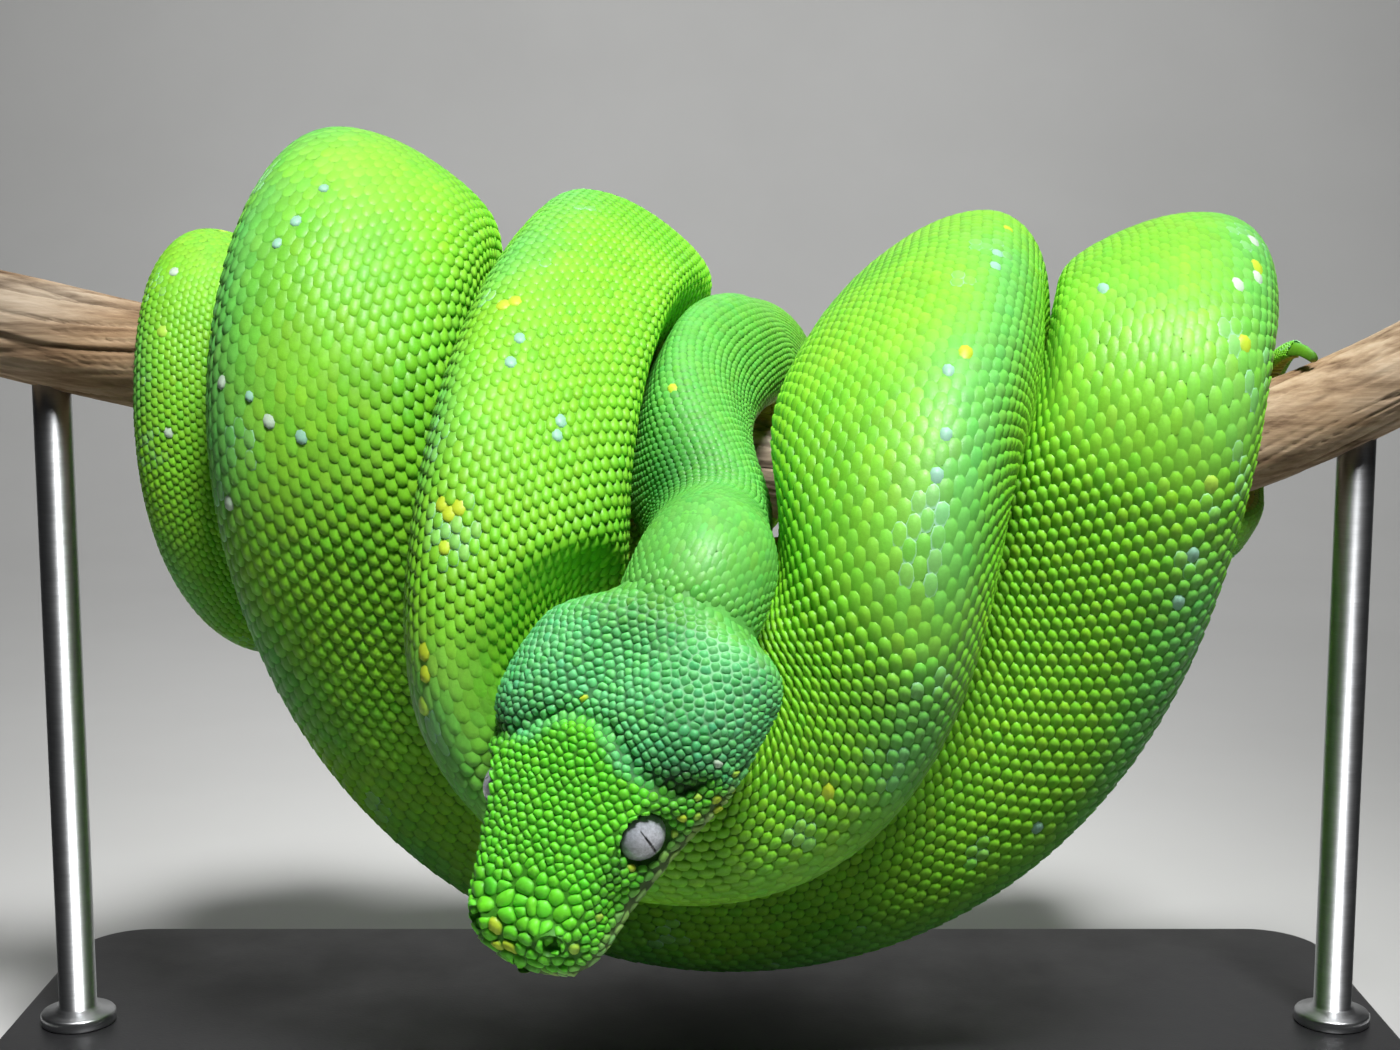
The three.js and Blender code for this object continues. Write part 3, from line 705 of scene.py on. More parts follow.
def head_colour(local, drift):
    """The head's colour at places in its own frame."""
    t, from_crown, above = head_places(local)
    colour = mix(NECK_GREEN, CROWN_GREEN, smooth(t, 0.02, 0.22))
    colour = mix(colour, JOWL_GREEN, smooth(t, 0.04, 0.16) * bell(from_crown, 1.1, 0.42))
    front = smooth(t + 0.02 * drift - lobe_edge(from_crown), -0.015, 0.025)
    colour = mix(colour, SNOUT_GREEN, front)
    for patch, strength, place, length, turn, spread in HEAD_PATCHES:
        share = strength * bell(t, place, length) * bell(from_crown, turn, spread)
        colour = mix(colour, patch, share)
    lip = smooth(above, 4.6, 2.6) * smooth(t, 0.34, 0.44)
    colour = mix(colour, LIP_GREEN, lip)
    colour = mix(colour, CHIN_PALE, smooth(above, -1.5, -4.5))
    return colour


# ---------------------------------------------------------------- making meshes

def new_mesh(name, points, faces, material):
    """A smooth mesh object from millimetre points about the coil and lists of faces."""
    mesh = bpy.data.meshes.new(name)
    points = (np.asarray(points) + COIL_PLACE) * MM
    counts = np.concatenate([np.full(len(block), block.shape[1]) for block in faces])
    corners = np.concatenate([block.ravel() for block in faces])
    mesh.vertices.add(len(points))
    mesh.vertices.foreach_set("co", points.astype(np.float32).ravel())
    mesh.loops.add(len(corners))
    mesh.loops.foreach_set("vertex_index", corners.astype(np.int32))
    mesh.polygons.add(len(counts))
    starts = np.concatenate([[0], np.cumsum(counts)[:-1]])
    mesh.polygons.foreach_set("loop_start", starts.astype(np.int32))
    mesh.update(calc_edges=True)
    mesh.polygons.foreach_set("use_smooth", np.ones(len(counts), bool))
    mesh.materials.append(material)
    thing = bpy.data.objects.new(name, mesh)
    bpy.context.scene.collection.objects.link(thing)
    return thing


def paint(thing, name, colours):
    """Stores a colour for each point of a mesh."""
    layer = thing.data.color_attributes.new(name, "FLOAT_COLOR", "POINT")
    values = np.ones((len(colours), 4), np.float32)
    values[:, :3] = colours
    layer.data.foreach_set("color", values.ravel())


def lay_out(thing, uv):
    """Stores the unwrap of each corner of a mesh."""
    layer = thing.data.uv_layers.new(name="OFBake")
    corner = np.empty(len(thing.data.loops), np.int32)
    thing.data.loops.foreach_get("vertex_index", corner)
    layer.data.foreach_set("uv", uv[corner].astype(np.float32).ravel())


def round_quads(grid, clockwise=False):
    """Quads between the rows of a grid of point numbers that runs round and closes on itself."""
    ahead = np.roll(grid, -1, axis=1)
    corners = [grid[:-1], grid[1:], ahead[1:], ahead[:-1]]
    if clockwise:
        corners = [grid[:-1], ahead[:-1], ahead[1:], grid[1:]]
    return np.stack(corners, axis=-1).reshape(-1, 4)


def fan(ring, middle):
    """Triangles from a closed ring of point numbers to one point in its middle."""
    return np.stack([ring, np.roll(ring, -1), np.full(len(ring), middle)], axis=1)


def repeated(faces, copies, stride):
    """The faces of one scale, for all its copies."""
    first = (np.arange(copies) * stride)[:, None, None]
    return (first + faces).reshape(-1, faces.shape[-1])


# The unwrap: the body's length folded into strips, with the head in the last of them. These
# margins stay free at the ends of a strip and along its sides.
STRIPS = 9
END_MARGIN = 0.01
SIDE_MARGIN = 0.03
# Where the snout's and the tail's last points lie on it, and half the width of a scale's patch.
SNOUT_SPOT = (0.5, 0.999)
TAIL_SPOT = (0.99, 0.88)
PATCH_HALF = 0.0015


def in_strip(number, along, across):
    """A place on the unwrap from its strip and shares along and across the strip."""
    return np.stack([END_MARGIN + (1 - 2 * END_MARGIN) * along,
                     (number + SIDE_MARGIN + (1 - 2 * SIDE_MARGIN) * across) / STRIPS], axis=-1)


def unwrap_body(route, s, angle):
    """Where a place on the body lies on the flat unwrap."""
    along = np.clip(s / (route.length + 1), 0, 0.99999) * (STRIPS - 1)
    strip = np.floor(along)
    return in_strip(strip, along - strip, angle % TURN / TURN)


def unwrap_head(t, angle):
    """Where a place on the head lies on the flat unwrap."""
    return in_strip(STRIPS - 1, angle % TURN / TURN, t)


# ---------------------------------------------------------------- the skin

def skin_points(depth):
    """The skin's points: the snout's tip, the head's rings, the body's rings, the tail's end."""
    route, body, head = shapes()
    head_rings = head.place - head.normal * (depth * head_depth(head.t))[:, None, None]
    rows = np.arange(4, len(route.s), 3)
    body_rings = body.place[rows] - body.normal[rows] * depth
    thin = smooth(route.radius[rows], 1.0, 3.0)[:, None, None]
    body_rings = lerp(route.centre[rows][:, None, :], body_rings, np.maximum(thin, 0.35))
    points = np.vstack([head_rings[-1].mean(axis=0)[None], head_rings[::-1].reshape(-1, 3),
                        body_rings.reshape(-1, 3), body_rings[-1].mean(axis=0)[None]])
    return points, rows


def skin_faces(body_rows, count):
    """The skin's faces: its ends, its rings, and the join where two points meet one."""
    head_grid = 1 + np.arange((HEAD_ROWS + 1) * HEAD_ROUND).reshape(-1, HEAD_ROUND)
    body_grid = head_grid[-1, -1] + 1 + np.arange(body_rows * ROUND).reshape(-1, ROUND)
    nape, neck = head_grid[-1], body_grid[0]
    first, middle, third = nape[::2], nape[1::2], np.roll(nape, -2)[::2]
    after = np.roll(neck, -1)
    triangles = [
        np.roll(fan(head_grid[0], 0), 1, axis=1),
        np.stack([first, neck, middle], axis=1),
        np.stack([middle, neck, after], axis=1),
        np.stack([middle, after, third], axis=1),
        fan(body_grid[-1], count - 1)[:, [0, 2, 1]],
    ]
    return [np.vstack([round_quads(head_grid), round_quads(body_grid)]), np.vstack(triangles)]


def build_skin(settings):
    """One closed skin over head and body, lying inside the solids by the coat's depth."""
    route, body, head = shapes()
    points, rows = skin_points(settings.coat_depth / MM)
    skin = new_mesh("skin", points, skin_faces(len(rows), len(points)), skin_material())
    head_paint = head_crevice(head.local[::-1].reshape(-1, 3))
    s, angle = (part.ravel() for part in np.meshgrid(route.s[rows], body.angles, indexing="ij"))
    strain = body.strain[rows].ravel()
    drift = wander(body.place[rows].reshape(-1, 3), BODY_DRIFT)
    paling = crevice_paling(route, s, signed(angle), strain)
    body_paint = body_colour(route, s, angle, strain, drift)
    # The skin between scales carries painted shade, paler where stretched.
    body_paint = body_paint * lerp(CREVICE_SHADE, STRETCHED_SHADE, paling)[:, None]
    paint(skin, "tint", np.vstack([head_paint[:1], head_paint, body_paint, body_paint[-1:]]))
    t, turn = (part.ravel() for part in np.meshgrid(head.t[::-1], head.angles, indexing="ij"))
    lay_out(skin, np.vstack([[SNOUT_SPOT], unwrap_head(t, turn), unwrap_body(route, s, angle),
                             [TAIL_SPOT]]))
    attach(skin, "root")
    flesh = [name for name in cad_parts
             if name in ("head", "lower_jaw", "neck") or name.startswith(("trunk_", "tail_"))]
    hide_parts(*flesh)


# ---------------------------------------------------------------- the coat of scales

# A body scale's outline has this many points; its inner ring stands high and its rim is sunk
# into the skin. Angle 0 is the free tip, towards the tail.
SCALE_SIDES = 8
# Half the belly's width, as an angle round the body. Its plates reach in under the scales.
BELLY_HALF = 0.62
BELLY_LAP = 0.06
# Each row of scales lies this share of a pitch further towards the tail than the row above it.
ROW_SLANT = 0.61
# How far the skin and the rims of scales are painted darker between scales, as painted shade in the
# crevices, and pale where stretched.
CREVICE_SHADE = 0.42
STRETCHED_SHADE = 0.86
# The coat of the neck or of one loop is parted into pieces no longer than this. It starts just
# behind the nape and leaves the very tip of the tail bare.
LONGEST_PIECE = 240
COAT_START = 0.3
BARE_TIP = 6
# The neck and the tail have this share of the body's rows of scales.
ROW_SHARES = {"neck": 0.8, "tail_root": 0.72, "tail": 0.5}
# Radius and height of a raised, marked scale, and the length of body to one bluish patch.
MARK_RADIUS = 1.25
MARK_HEIGHT = 0.30
FLECK_EVERY = 14
# The two seeds keep the scales the same each time they are made.
BODY_SEED = 7
HEAD_SEED = 11


def scale_faces(sides):
    """The faces of one scale: a wall from its ring down to its rim, and a fan over the top."""
    ring = 1 + np.arange(sides)
    ahead = np.roll(ring, -1)
    wall = np.stack([ring, ring + sides, ahead + sides, ahead], axis=1)
    return wall, np.roll(fan(ring, 0), 1, axis=1)


def coat_piece(name, points, faces, tint, uv):
    """One piece of the coat, with its paint and unwrap."""
    coat = new_mesh(name, points, faces, scale_material())
    paint(coat, "tint", np.clip(tint, 0, 1).reshape(-1, 3))
    lay_out(coat, uv.reshape(-1, 2))
    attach(coat, "root")


def scale_tint(colour, painted_highlight_and_shade, rim, sides):
    """The colours of all points: middle and ring with the pattern's painted highlight and shade, the
    rim its own.
    """
    return np.concatenate([colour[:, None, :] * painted_highlight_and_shade[None, :, None],
                           np.repeat(rim[:, None, :], sides, axis=1)], axis=1)


def scale_pattern():
    """The points of one scale: across, along, height and painted highlight and shade of each."""
    angle = np.arange(SCALE_SIDES) * TURN / SCALE_SIDES
    tip = (1 + np.cos(angle)) / 2
    across = np.sin(angle) * (0.92 + 0.10 * np.cos(angle))
    across = np.sign(across) * np.abs(across) ** 0.90
    along = np.sign(np.cos(angle)) * np.abs(np.cos(angle)) ** 0.90
    inner = 0.70 + 0.14 * tip
    u = np.concatenate([[0], across * inner, across])
    v = np.concatenate([[0.10], along * inner, along])
    height = np.concatenate([[0.82], 0.26 + 0.74 * tip, np.full(SCALE_SIDES, -0.20)])
    # Painted highlight on the free tips and painted shade towards the root.
    painted_highlight_and_shade = np.concatenate([[0.98], 0.86 + 0.30 * tip**2])
    return u, v, height, painted_highlight_and_shade


def counted(pitch):
    """How many scales of a pitch lie between the nape and each station."""
    return np.concatenate([[0], np.cumsum(STATION_STEP / pitch)])[:-1]


def row_angles(count):
    """The angles of the lengthways rows, closer on the back and wider beside the belly."""
    most = math.pi - BELLY_HALF
    place = (np.arange(count) - (count - 1) / 2) / (count / 2)
    spread = place * (1 + 0.06 * place**2) / 1.06
    return spread * most


def lattice(start, end, count, rng):
    """Places of the scales between two stations: along, angle and the width of their row."""
    route, body, _ = shapes()
    steps = counted(body.pitch)
    first = np.interp(start, route.s, steps)
    last = np.interp(end, route.s, steps)
    angles = row_angles(count)
    widths = np.gradient(angles)
    rows = []
    for row, (angle, width) in enumerate(zip(angles, widths)):
        slant = ROW_SLANT * abs(row - (count - 1) / 2)
        numbers = np.arange(math.ceil(first - slant), math.ceil(last - slant)) + slant
        s = np.interp(numbers, steps, route.s)
        rows.append(np.stack([s, np.full_like(s, angle), np.full_like(s, width)], axis=1))
    places = np.vstack(rows)
    places[:, 0] += rng.normal(0, 0.06, len(places))
    places[:, 1] += rng.normal(0, 0.04, len(places)) * places[:, 2]
    return places


# Marked scales: the length they are on, the share of the way along it, degrees from the
# spine (the snake's left side is plus), the paint and how much larger than their neighbours.
MARKS = [
    ("neck", 0.480, -8, "yellow", 1.1),
    ("front_inner", 0.178, -11, "yellow", 1.25), ("front_inner", 0.174, -19, "yellow", 1.2),
    ("front_inner", 0.291, -11, "gold", 1.1), ("front_inner", 0.293, -15, "gold", 1.15),
    ("front_inner", 0.295, -19, "gold", 1.2), ("front_inner", 0.310, -11, "yellow", 1.0),
    ("front_inner", 0.349, -4, "gold", 1.2), ("front_inner", 0.357, -4, "gold", 1.1),
    ("front_inner", 0.366, 0, "lemon", 1.3), ("front_inner", 0.440, -5, "lemon", 1.2),
    ("front_inner", 0.205, -30, "blue", 1.0), ("front_inner", 0.215, -28, "blue", 1.0),
    ("front_inner", 0.240, -64, "blue", 1.0), ("front_inner", 0.250, -60, "blue", 0.9),
    ("front_inner", 0.922, 0, "gold", 1.0), ("front_inner", 0.762, -11, "gold", 1.1),
    ("front_inner", 0.755, -14, "blue", 0.9), ("front_inner", 0.850, -4, "blue", 1.0),
    ("front_inner", 0.865, -7, "blue", 1.0), ("front_inner", 0.710, -11, "blue", 1.0),
    ("front_inner", 0.725, -8, "blue", 0.9), ("front_inner", 0.570, -30, "gold", 1.2),
    ("front_outer", 0.134, -11, "white", 0.9), ("front_outer", 0.144, -34, "white", 0.95),
    ("front_outer", 0.137, -24, "blue", 0.7), ("front_outer", 0.170, -8, "white", 1.0),
    ("front_outer", 0.072, -30, "blue", 0.9), ("front_outer", 0.085, -24, "blue", 0.8),
    ("front_outer", 0.062, -33, "blue", 0.8), ("front_outer", 0.148, -49, "blue", 0.9),
    ("front_outer", 0.954, -4, "white", 1.2), ("front_outer", 0.938, -4, "yellow", 1.3),
    ("front_outer", 0.930, -7, "white", 1.1), ("front_outer", 0.915, -15, "white", 1.1),
    ("front_outer", 0.898, -11, "yellow", 1.2), ("front_outer", 0.859, -15, "lemon", 1.2),
    ("front_outer", 0.833, -15, "blue", 1.1), ("front_outer", 0.807, -15, "blue", 1.1),
    ("front_outer", 0.905, -75, "blue", 1.0), ("front_outer", 0.669, -22, "blue", 1.0),
    ("back_third", 0.998, -38, "lemon", 1.3), ("tail_root", 0.214, -34, "lemon", 1.5),
    ("tail_root", 0.357, -38, "white", 1.2), ("tail_root", 0.122, -34, "white", 1.3),
]
PAINTS = {"yellow": (0.60, 0.84, 0.05), "gold": (0.60, 0.78, 0.04), "lemon": (0.50, 0.86, 0.09),
          "white": (0.62, 0.80, 0.60), "blue": (0.36, 0.70, 0.50)}


def marked(s, angle, colour, rim, height, half_long, half_wide):
    """Paints the marked scales, each the nearest one to its place, round and raised."""
    route, body, _ = shapes()
    names = list(route.ends)
    for name, share, degrees, paint_name, scale in MARKS:
        before = names.index(name) - 1
        start = route.ends[names[before]] if before >= 0 else 0.0
        place = lerp(start, route.ends[name], share)
        if not s.min() <= place < s.max():
            continue
        turn = math.radians(degrees)
        radius = np.interp(place, route.s, route.radius)
        chosen = int(np.argmin(np.hypot(s - place, (angle - turn) * radius)))
        where = s[chosen : chosen + 1], angle[chosen : chosen + 1]
        colour[chosen] = PAINTS[paint_name]
        # The mark's rim is painted darker: painted shade in its crevice.
        rim[chosen] = colour[chosen] * 0.75
        height[chosen] = MARK_HEIGHT
        spread = MARK_RADIUS * scale * math.sqrt(radius / 20)
        half_long[chosen] = 1.12 * spread / body.sample(body.stretch, *where)[0]
        half_wide[chosen] = spread / body.sample(body.across, *where)[0]


def flecked(s, angle, colour, rim, rng):
    """Bluish patches along the spine, where the skin shows pale between the scales."""
    route = shapes()[0]
    for _ in range(round((s.max() - s.min()) / FLECK_EVERY)):
        place = rng.uniform(s.min(), s.max())
        turn = rng.normal(-0.1, 0.22)
        if place < route.ends["neck"] + 20:
            continue
        radius = np.interp(place, route.s, route.radius)
        apart = np.hypot(s - place, (angle - turn) * radius)
        near = (apart < rng.uniform(1.5, 4.0)) & (rng.random(len(s)) < 0.6)
        rim[near] = mix(rim[near], SPOT_BLUE, 0.75)
        colour[near] = mix(colour[near], SPOT_BLUE, rng.uniform(0.0, 0.18, near.sum()))


def neck_band(s, angle):
    """The band across the neck where the scales stand apart, from 0 to 1."""
    return bell(s, 29, 8) * smooth(angle, -0.9, 0.0)


def relief(s, angle):
    """How high the scales stand at places on the body, as a share of the coat's depth."""
    route, body, _ = shapes()
    radius = np.interp(s, route.s, route.radius)
    strain = body.sample(body.strain, s, angle)
    pressed = body.sample(body.pressed, s, angle)
    upward = body.sample(body.normal, s, angle)[:, 2]
    high = np.clip(radius / 16, 0.5, 1.0) * (1 - 0.35 * pressed)
    high = high * (1 - 0.75 * smooth(strain, 0.98, 1.28)) * (1 - 0.45 * smooth(upward, 0.35, 0.9))
    high = high * (0.85 + 0.30 * smooth(strain, 0.9, 0.5))
    nape = smooth(s, 26, 8) * smooth(np.abs(angle), 1.9, 1.2)
    neck = np.clip(1.0 + 0.30 * neck_band(s, angle) - 0.30 * nape, 0.3, 1.3)
    return high * lerp(neck, 1.0, smooth(s, 70, route.ends["neck"] + 25))


def place_scales(name, start, end, count, settings, rng):
    """The domed scales of one length of the body, as one piece."""
    route, body, _ = shapes()
    s, angle, row_width = lattice(start, end, count, rng).T
    pitch = np.interp(s, route.s, body.pitch)
    strain = body.sample(body.strain, s, angle)
    u, v, lift, painted_highlight_and_shade = scale_pattern()
    centre = body.sample(body.place, s, angle)
    colour = body_colour(route, s, angle, strain, wander(centre, BODY_DRIFT))
    colour = colour * rng.normal(1, 0.035, len(s))[:, None]
    colour = colour * (1 + rng.normal(0, 1, (len(s), 3)) * np.array([0.06, 0.015, 0.08]))
    size = rng.normal(1, 0.035, len(s))
    nape = smooth(s, 30, 20)
    half_long = (0.60 + 0.10 * nape) * pitch * size
    half_wide = (0.70 + 0.06 * nape) * row_width * size
    paling = crevice_paling(route, s, angle, strain)
    # The rims carry painted shade in the crevices, paler where the skin is stretched.
    rim = colour * lerp(CREVICE_SHADE, STRETCHED_SHADE, paling)[:, None]
    depth = settings.coat_depth / MM
    height = depth * relief(s, angle) * rng.normal(1, 0.06, len(s))
    flecked(s, angle, colour, rim, rng)
    marked(s, angle, colour, rim, height, half_long, half_wide)
    slant = (ROW_SLANT - 0.5) * 2.4 + 0.9 * smooth(strain, 0.95, 0.5) * smooth(np.abs(angle), 0.4, 1.1)
    slant = slant * smooth(np.abs(angle), 0.05, 0.4)
    shear = slant * 0.5 * pitch * np.sign(angle) * half_wide / row_width
    point_s = s[:, None] + half_long[:, None] * v[None] + shear[:, None] * u[None]
    point_angle = angle[:, None] + half_wide[:, None] * u[None]
    flat_s, flat_angle = point_s.ravel(), point_angle.ravel()
    place = body.sample(body.place, flat_s, flat_angle)
    normal = unit(body.sample(body.normal, flat_s, flat_angle))
    rise = (lift[None] * height[:, None]).ravel() - depth
    points = place + normal * rise[:, None]
    faces = [repeated(part, len(s), len(u)) for part in scale_faces(SCALE_SIDES)]
    uv = unwrap_body(route, s, angle)[:, None] + np.stack([v, u], axis=1) * PATCH_HALF
    coat_piece(name, points, faces, scale_tint(colour, painted_highlight_and_shade, rim, SCALE_SIDES), uv)


def crevice_paling(route, s, angle, strain):
    """How far the skin between scales is stretched pale, from 0 to 1."""
    pale = smooth(strain, 0.90, 1.20)
    neck = smooth(s, route.ends["neck"], 60) * (1 - neck_band(s, angle))
    return np.clip(np.maximum(pale, 0.20 * neck), 0, 1)


# A belly plate from its root to its free edge: place along it in pitches, height as a share of
# the coat's depth, and painted shade, darker where it sinks at root and edge. It has this many points
# across.
PLATE_ROWS = [
    (-0.50, -0.20, 0.6), (-0.15, 0.30, 0.9), (0.30, 0.72, 1.0), (0.52, 0.80, 1.0),
    (0.56, -0.20, 0.5),
]
PLATE_COLUMNS = 15


def belly_plates(settings):
    """The wide plates under the belly, from the throat to the tail's tip, as one piece."""
    route, body, _ = shapes()
    pitches = 2 * body.pitch
    steps = counted(pitches)
    s = np.interp(np.arange(2, math.floor(steps[-6])), steps, route.s)
    pitch = np.interp(s, route.s, pitches)[:, None, None]
    depth = settings.coat_depth / MM
    u = np.linspace(-1, 1, PLATE_COLUMNS)
    v, lift, shade = np.array(PLATE_ROWS).T
    ends = 1 - 0.9 * np.abs(u) ** 8
    point_s = s[:, None, None] + pitch * (v[:, None] + 0.10 * (1 - u**2))
    shape = point_s.shape
    point_s = point_s.ravel()
    point_angle = np.broadcast_to(math.pi + (BELLY_HALF + BELLY_LAP) * u, shape).ravel()
    rise = depth * (lift[:, None] * ends - 0.25 * (1 - ends)) - depth
    rise = np.broadcast_to(rise, shape).reshape(-1, 1)
    normal = unit(body.sample(body.normal, point_s, point_angle))
    points = body.sample(body.place, point_s, point_angle) + normal * rise
    grid = np.arange(len(v) * len(u)).reshape(len(v), len(u))
    quad = np.stack([grid[:-1, :-1], grid[1:, :-1], grid[1:, 1:], grid[:-1, 1:]], axis=-1)
    faces = [repeated(quad.reshape(-1, 4), len(s), grid.size)]
    middle = np.full(len(s), math.pi)
    colour = body_colour(route, s, middle, np.ones(len(s)), np.zeros(len(s)))
    tint = colour[:, None, None, :] * shade[:, None, None] * np.ones((len(u), 1))
    patch = np.stack(np.meshgrid(v, u, indexing="ij"), axis=-1).reshape(-1, 2) * PATCH_HALF
    uv = unwrap_body(route, s, middle)[:, None] + patch
    coat_piece("coat_belly", points, faces, tint, uv)


# ---------------------------------------------------------------- the scales of the head

HEAD_SCALE_SIDES = 14
# Spots tried on the head's surface when the scales are spread out, and rounds of evening.
HEAD_TRIALS = 42000
HEAD_ROUNDS = 2
# The small scales start in rows this far apart, with this pitch along a row; scales wider than
# the limit start anywhere.
HEAD_ROW_STEP = 1.10
HEAD_ROW_PITCH = 1.62
HEAD_ROW_LIMIT = 1.75
# The plates of the snout: place along the head and degrees from the crown, both sides alike.
SNOUT_PLATES = [
    (0.935, 13), (0.892, 27), (0.955, 54), (0.912, 58), (0.858, 10), (0.862, 42), (0.82, 0),
    (0.815, 22), (0.972, 0), (0.982, 40), (0.978, 85), (0.825, 44), (0.785, 9),
]
# No other scale's middle is nearer than this to the middle of a plate.
PLATE_CLEARANCE = 1.5
# The plates of the lips: height over and under the mouth's line, and the step along it.
LIP_HEIGHT = 1.75
LIP_STEP = 0.062
# The ring of scales round each eye: their number, how far outside the window their middles lie,
# and how far inside it lie the points that they stop short of.
RING_SCALES = 15
RING_OUT = 0.95
RING_IN = 0.75
# The scales are this much wider than long, and stand this much higher at their nape side.
HEAD_SCALE_WIDTH = 1.25
HEAD_SCALE_TILT = 0.30


def head_scale_size(local):
    """How wide the scales are at places on the head."""
    t, from_crown, above = head_places(local)
    size = np.full(len(t), 1.42)
    size += 0.16 * bell(from_crown, 0.9, 0.4) * smooth(t, 0.36, 0.26)
    size -= 0.30 * bell(t, 0.34, 0.07) * bell(from_crown, 0, 0.4)
    size -= 0.40 * bell(t, 0.46, 0.07) * bell(from_crown, 1.2, 0.4)
    size -= 0.05 * smooth(t, 0.42, 0.5)
    size += 1.20 * smooth(t, 0.76, 0.84) * smooth(from_crown, 1.1, 0.7)
    size = lerp(size, 2.3, smooth(np.abs(above), 3.6, 2.6) * smooth(t, 0.26, 0.36))
    return np.where(above < -3, np.maximum(size, 1.9), size)


def point_tree(points):
    """A tree that finds the nearest of many points quickly."""
    tree = kdtree.KDTree(len(points))
    for i, point in enumerate(points):
        tree.insert(point, i)
    tree.balance()
    return tree


def nearest(tree, points):
    """The number of the nearest point in a tree, for each of many points."""
    return np.array([tree.find(point)[1] for point in points])


def window_middle(side):
    """The middle of the window of the left (1) or right (-1) eye."""
    return mirrored(EYE_PLACE, side) + mirrored(EYE_LOOK, side) * WINDOW_OUT


def off_eyes(places, gap):
    """Which places are further than a gap from the edges of both windows."""
    far = [np.linalg.norm(places - window_middle(side), axis=1) for side in (-1, 1)]
    return np.minimum(*far) > EYE_WINDOW + gap


def eye_rings(gap):
    """Places round both eyes, this far outside the edges of their windows."""
    turn = (np.arange(RING_SCALES) + 0.5) * TURN / RING_SCALES
    rings = []
    for side in (-1, 1):
        look = mirrored(EYE_LOOK, side)
        first = unit(np.cross(look, np.array([0, 0, 1.0])))
        round_eye = np.outer(np.cos(turn), first) + np.outer(np.sin(turn), np.cross(look, first))
        rings.append(window_middle(side) + (EYE_WINDOW + gap) * round_eye)
    return np.vstack(rings)


def lip_places(head, offset):
    """Places along both lips, at a height over (plus) or under (minus) the mouth's line."""
    places = []
    for t in np.arange(0.36, 0.985, LIP_STEP):
        row = int(np.argmin(np.abs(head.t - t)))
        line = head.local[row]
        apart = np.abs(line[:, 1] - mouth_line(line[:, 2]) - offset)
        for side in (-1, 1):
            places.append(line[np.argmin(apart + 100 * (line[:, 0] * side < 0))])
    return np.array(places)


def plate_places(head):
    """Places of the snout's plates on the surface."""
    places = []
    for t, degrees in SNOUT_PLATES:
        row = int(np.argmin(np.abs(head.t - t)))
        for side in (-1, 1) if degrees else (1,):
            column = round(side * degrees / 360 * HEAD_ROUND) % HEAD_ROUND
            places.append(head.local[row, column])
    return np.array(places)


def seed_rows(head, rng):
    """Places in staggered rows across the head, spread out from the middle of the crown."""
    along = travelled(head.local[:, 0])
    column = np.arange(HEAD_ROUND // 2 + 1)
    places = []
    for number, reach in enumerate(np.arange(HEAD_ROW_STEP / 2, along[-1], HEAD_ROW_STEP)):
        row = int(np.argmin(np.abs(along - reach)))
        for side in (1, -1):
            line = head.local[row, side * column]
            far = travelled(line)
            first = 0.5 if number % 2 else float(side < 0)
            steps = np.arange(first * HEAD_ROW_PITCH, far[-1], HEAD_ROW_PITCH)
            places.append(np.stack([np.interp(steps, far, part) for part in line.T], axis=1))
    places = np.vstack(places)
    return places + rng.normal(0, 0.08, places.shape)


def scattered(head, rng):
    """Spots all over the head's surface but its eyes, and the surface that each stands for."""
    local = head.local.reshape(-1, 3)
    along = np.linalg.norm(np.gradient(head.local, axis=0), axis=2)
    across = np.linalg.norm(np.roll(head.local, -1, axis=1) - head.local, axis=2)
    area = (along * across).ravel()
    spots = local[rng.choice(len(local), HEAD_TRIALS, p=area / area.sum())]
    spots = spots + rng.normal(0, 0.12, spots.shape)
    return spots[off_eyes(spots, 0.5)], area.sum() / HEAD_TRIALS


def first_seeds(head, spots, size, spot_area, rng):
    """The loose scales' first middles: large ones anywhere, small ones in rows."""
    large = size > HEAD_ROW_LIMIT
    chance = 1 / size[large] ** 2
    count = int(spot_area * np.sum(chance / 0.9))
    chosen = rng.choice(large.sum(), count, replace=False, p=chance / chance.sum())
    rows = seed_rows(head, rng)
    rows = rows[(head_scale_size(rows) <= HEAD_ROW_LIMIT) & off_eyes(rows, 1.6)]
    return np.vstack([spots[large][chosen], rows])


def head_seeds(head, finder, rng):
    """The middles of the head's scales, evened out."""
    spots, spot_area = scattered(head, rng)
    size = head_scale_size(spots)
    plates = plate_places(head)
    pinned = np.vstack([plates, lip_places(head, LIP_HEIGHT), lip_places(head, -LIP_HEIGHT),
                        eye_rings(RING_OUT)])
    seeds = first_seeds(head, spots, size, spot_area, rng)
    weight = (1 / size**4)[:, None]
    wider = np.array([1, 1, HEAD_SCALE_WIDTH])
    for _ in range(HEAD_ROUNDS):
        every = np.vstack([pinned, seeds])
        owner = nearest(point_tree(every * wider), spots * wider)
        total = np.zeros((len(every), 3))
        share = np.zeros((len(every), 1))
        np.add.at(total, owner, spots * weight)
        np.add.at(share, owner, weight)
        moved = total / np.maximum(share, 1e-9)
        seeds = moved[len(pinned):][share[len(pinned):, 0] > 0]
    snapped = head.local.reshape(-1, 3)[nearest(finder, seeds)]
    apart = np.linalg.norm(snapped[:, None] - plates[None], axis=2).min(axis=1)
    return np.vstack([pinned, snapped[apart > PLATE_CLEARANCE]])


def spokes(count):
    """Directions all round, as rows of cosine and sine."""
    turn = np.arange(count) * TURN / count
    return np.stack([np.cos(turn), np.sin(turn)], axis=1)


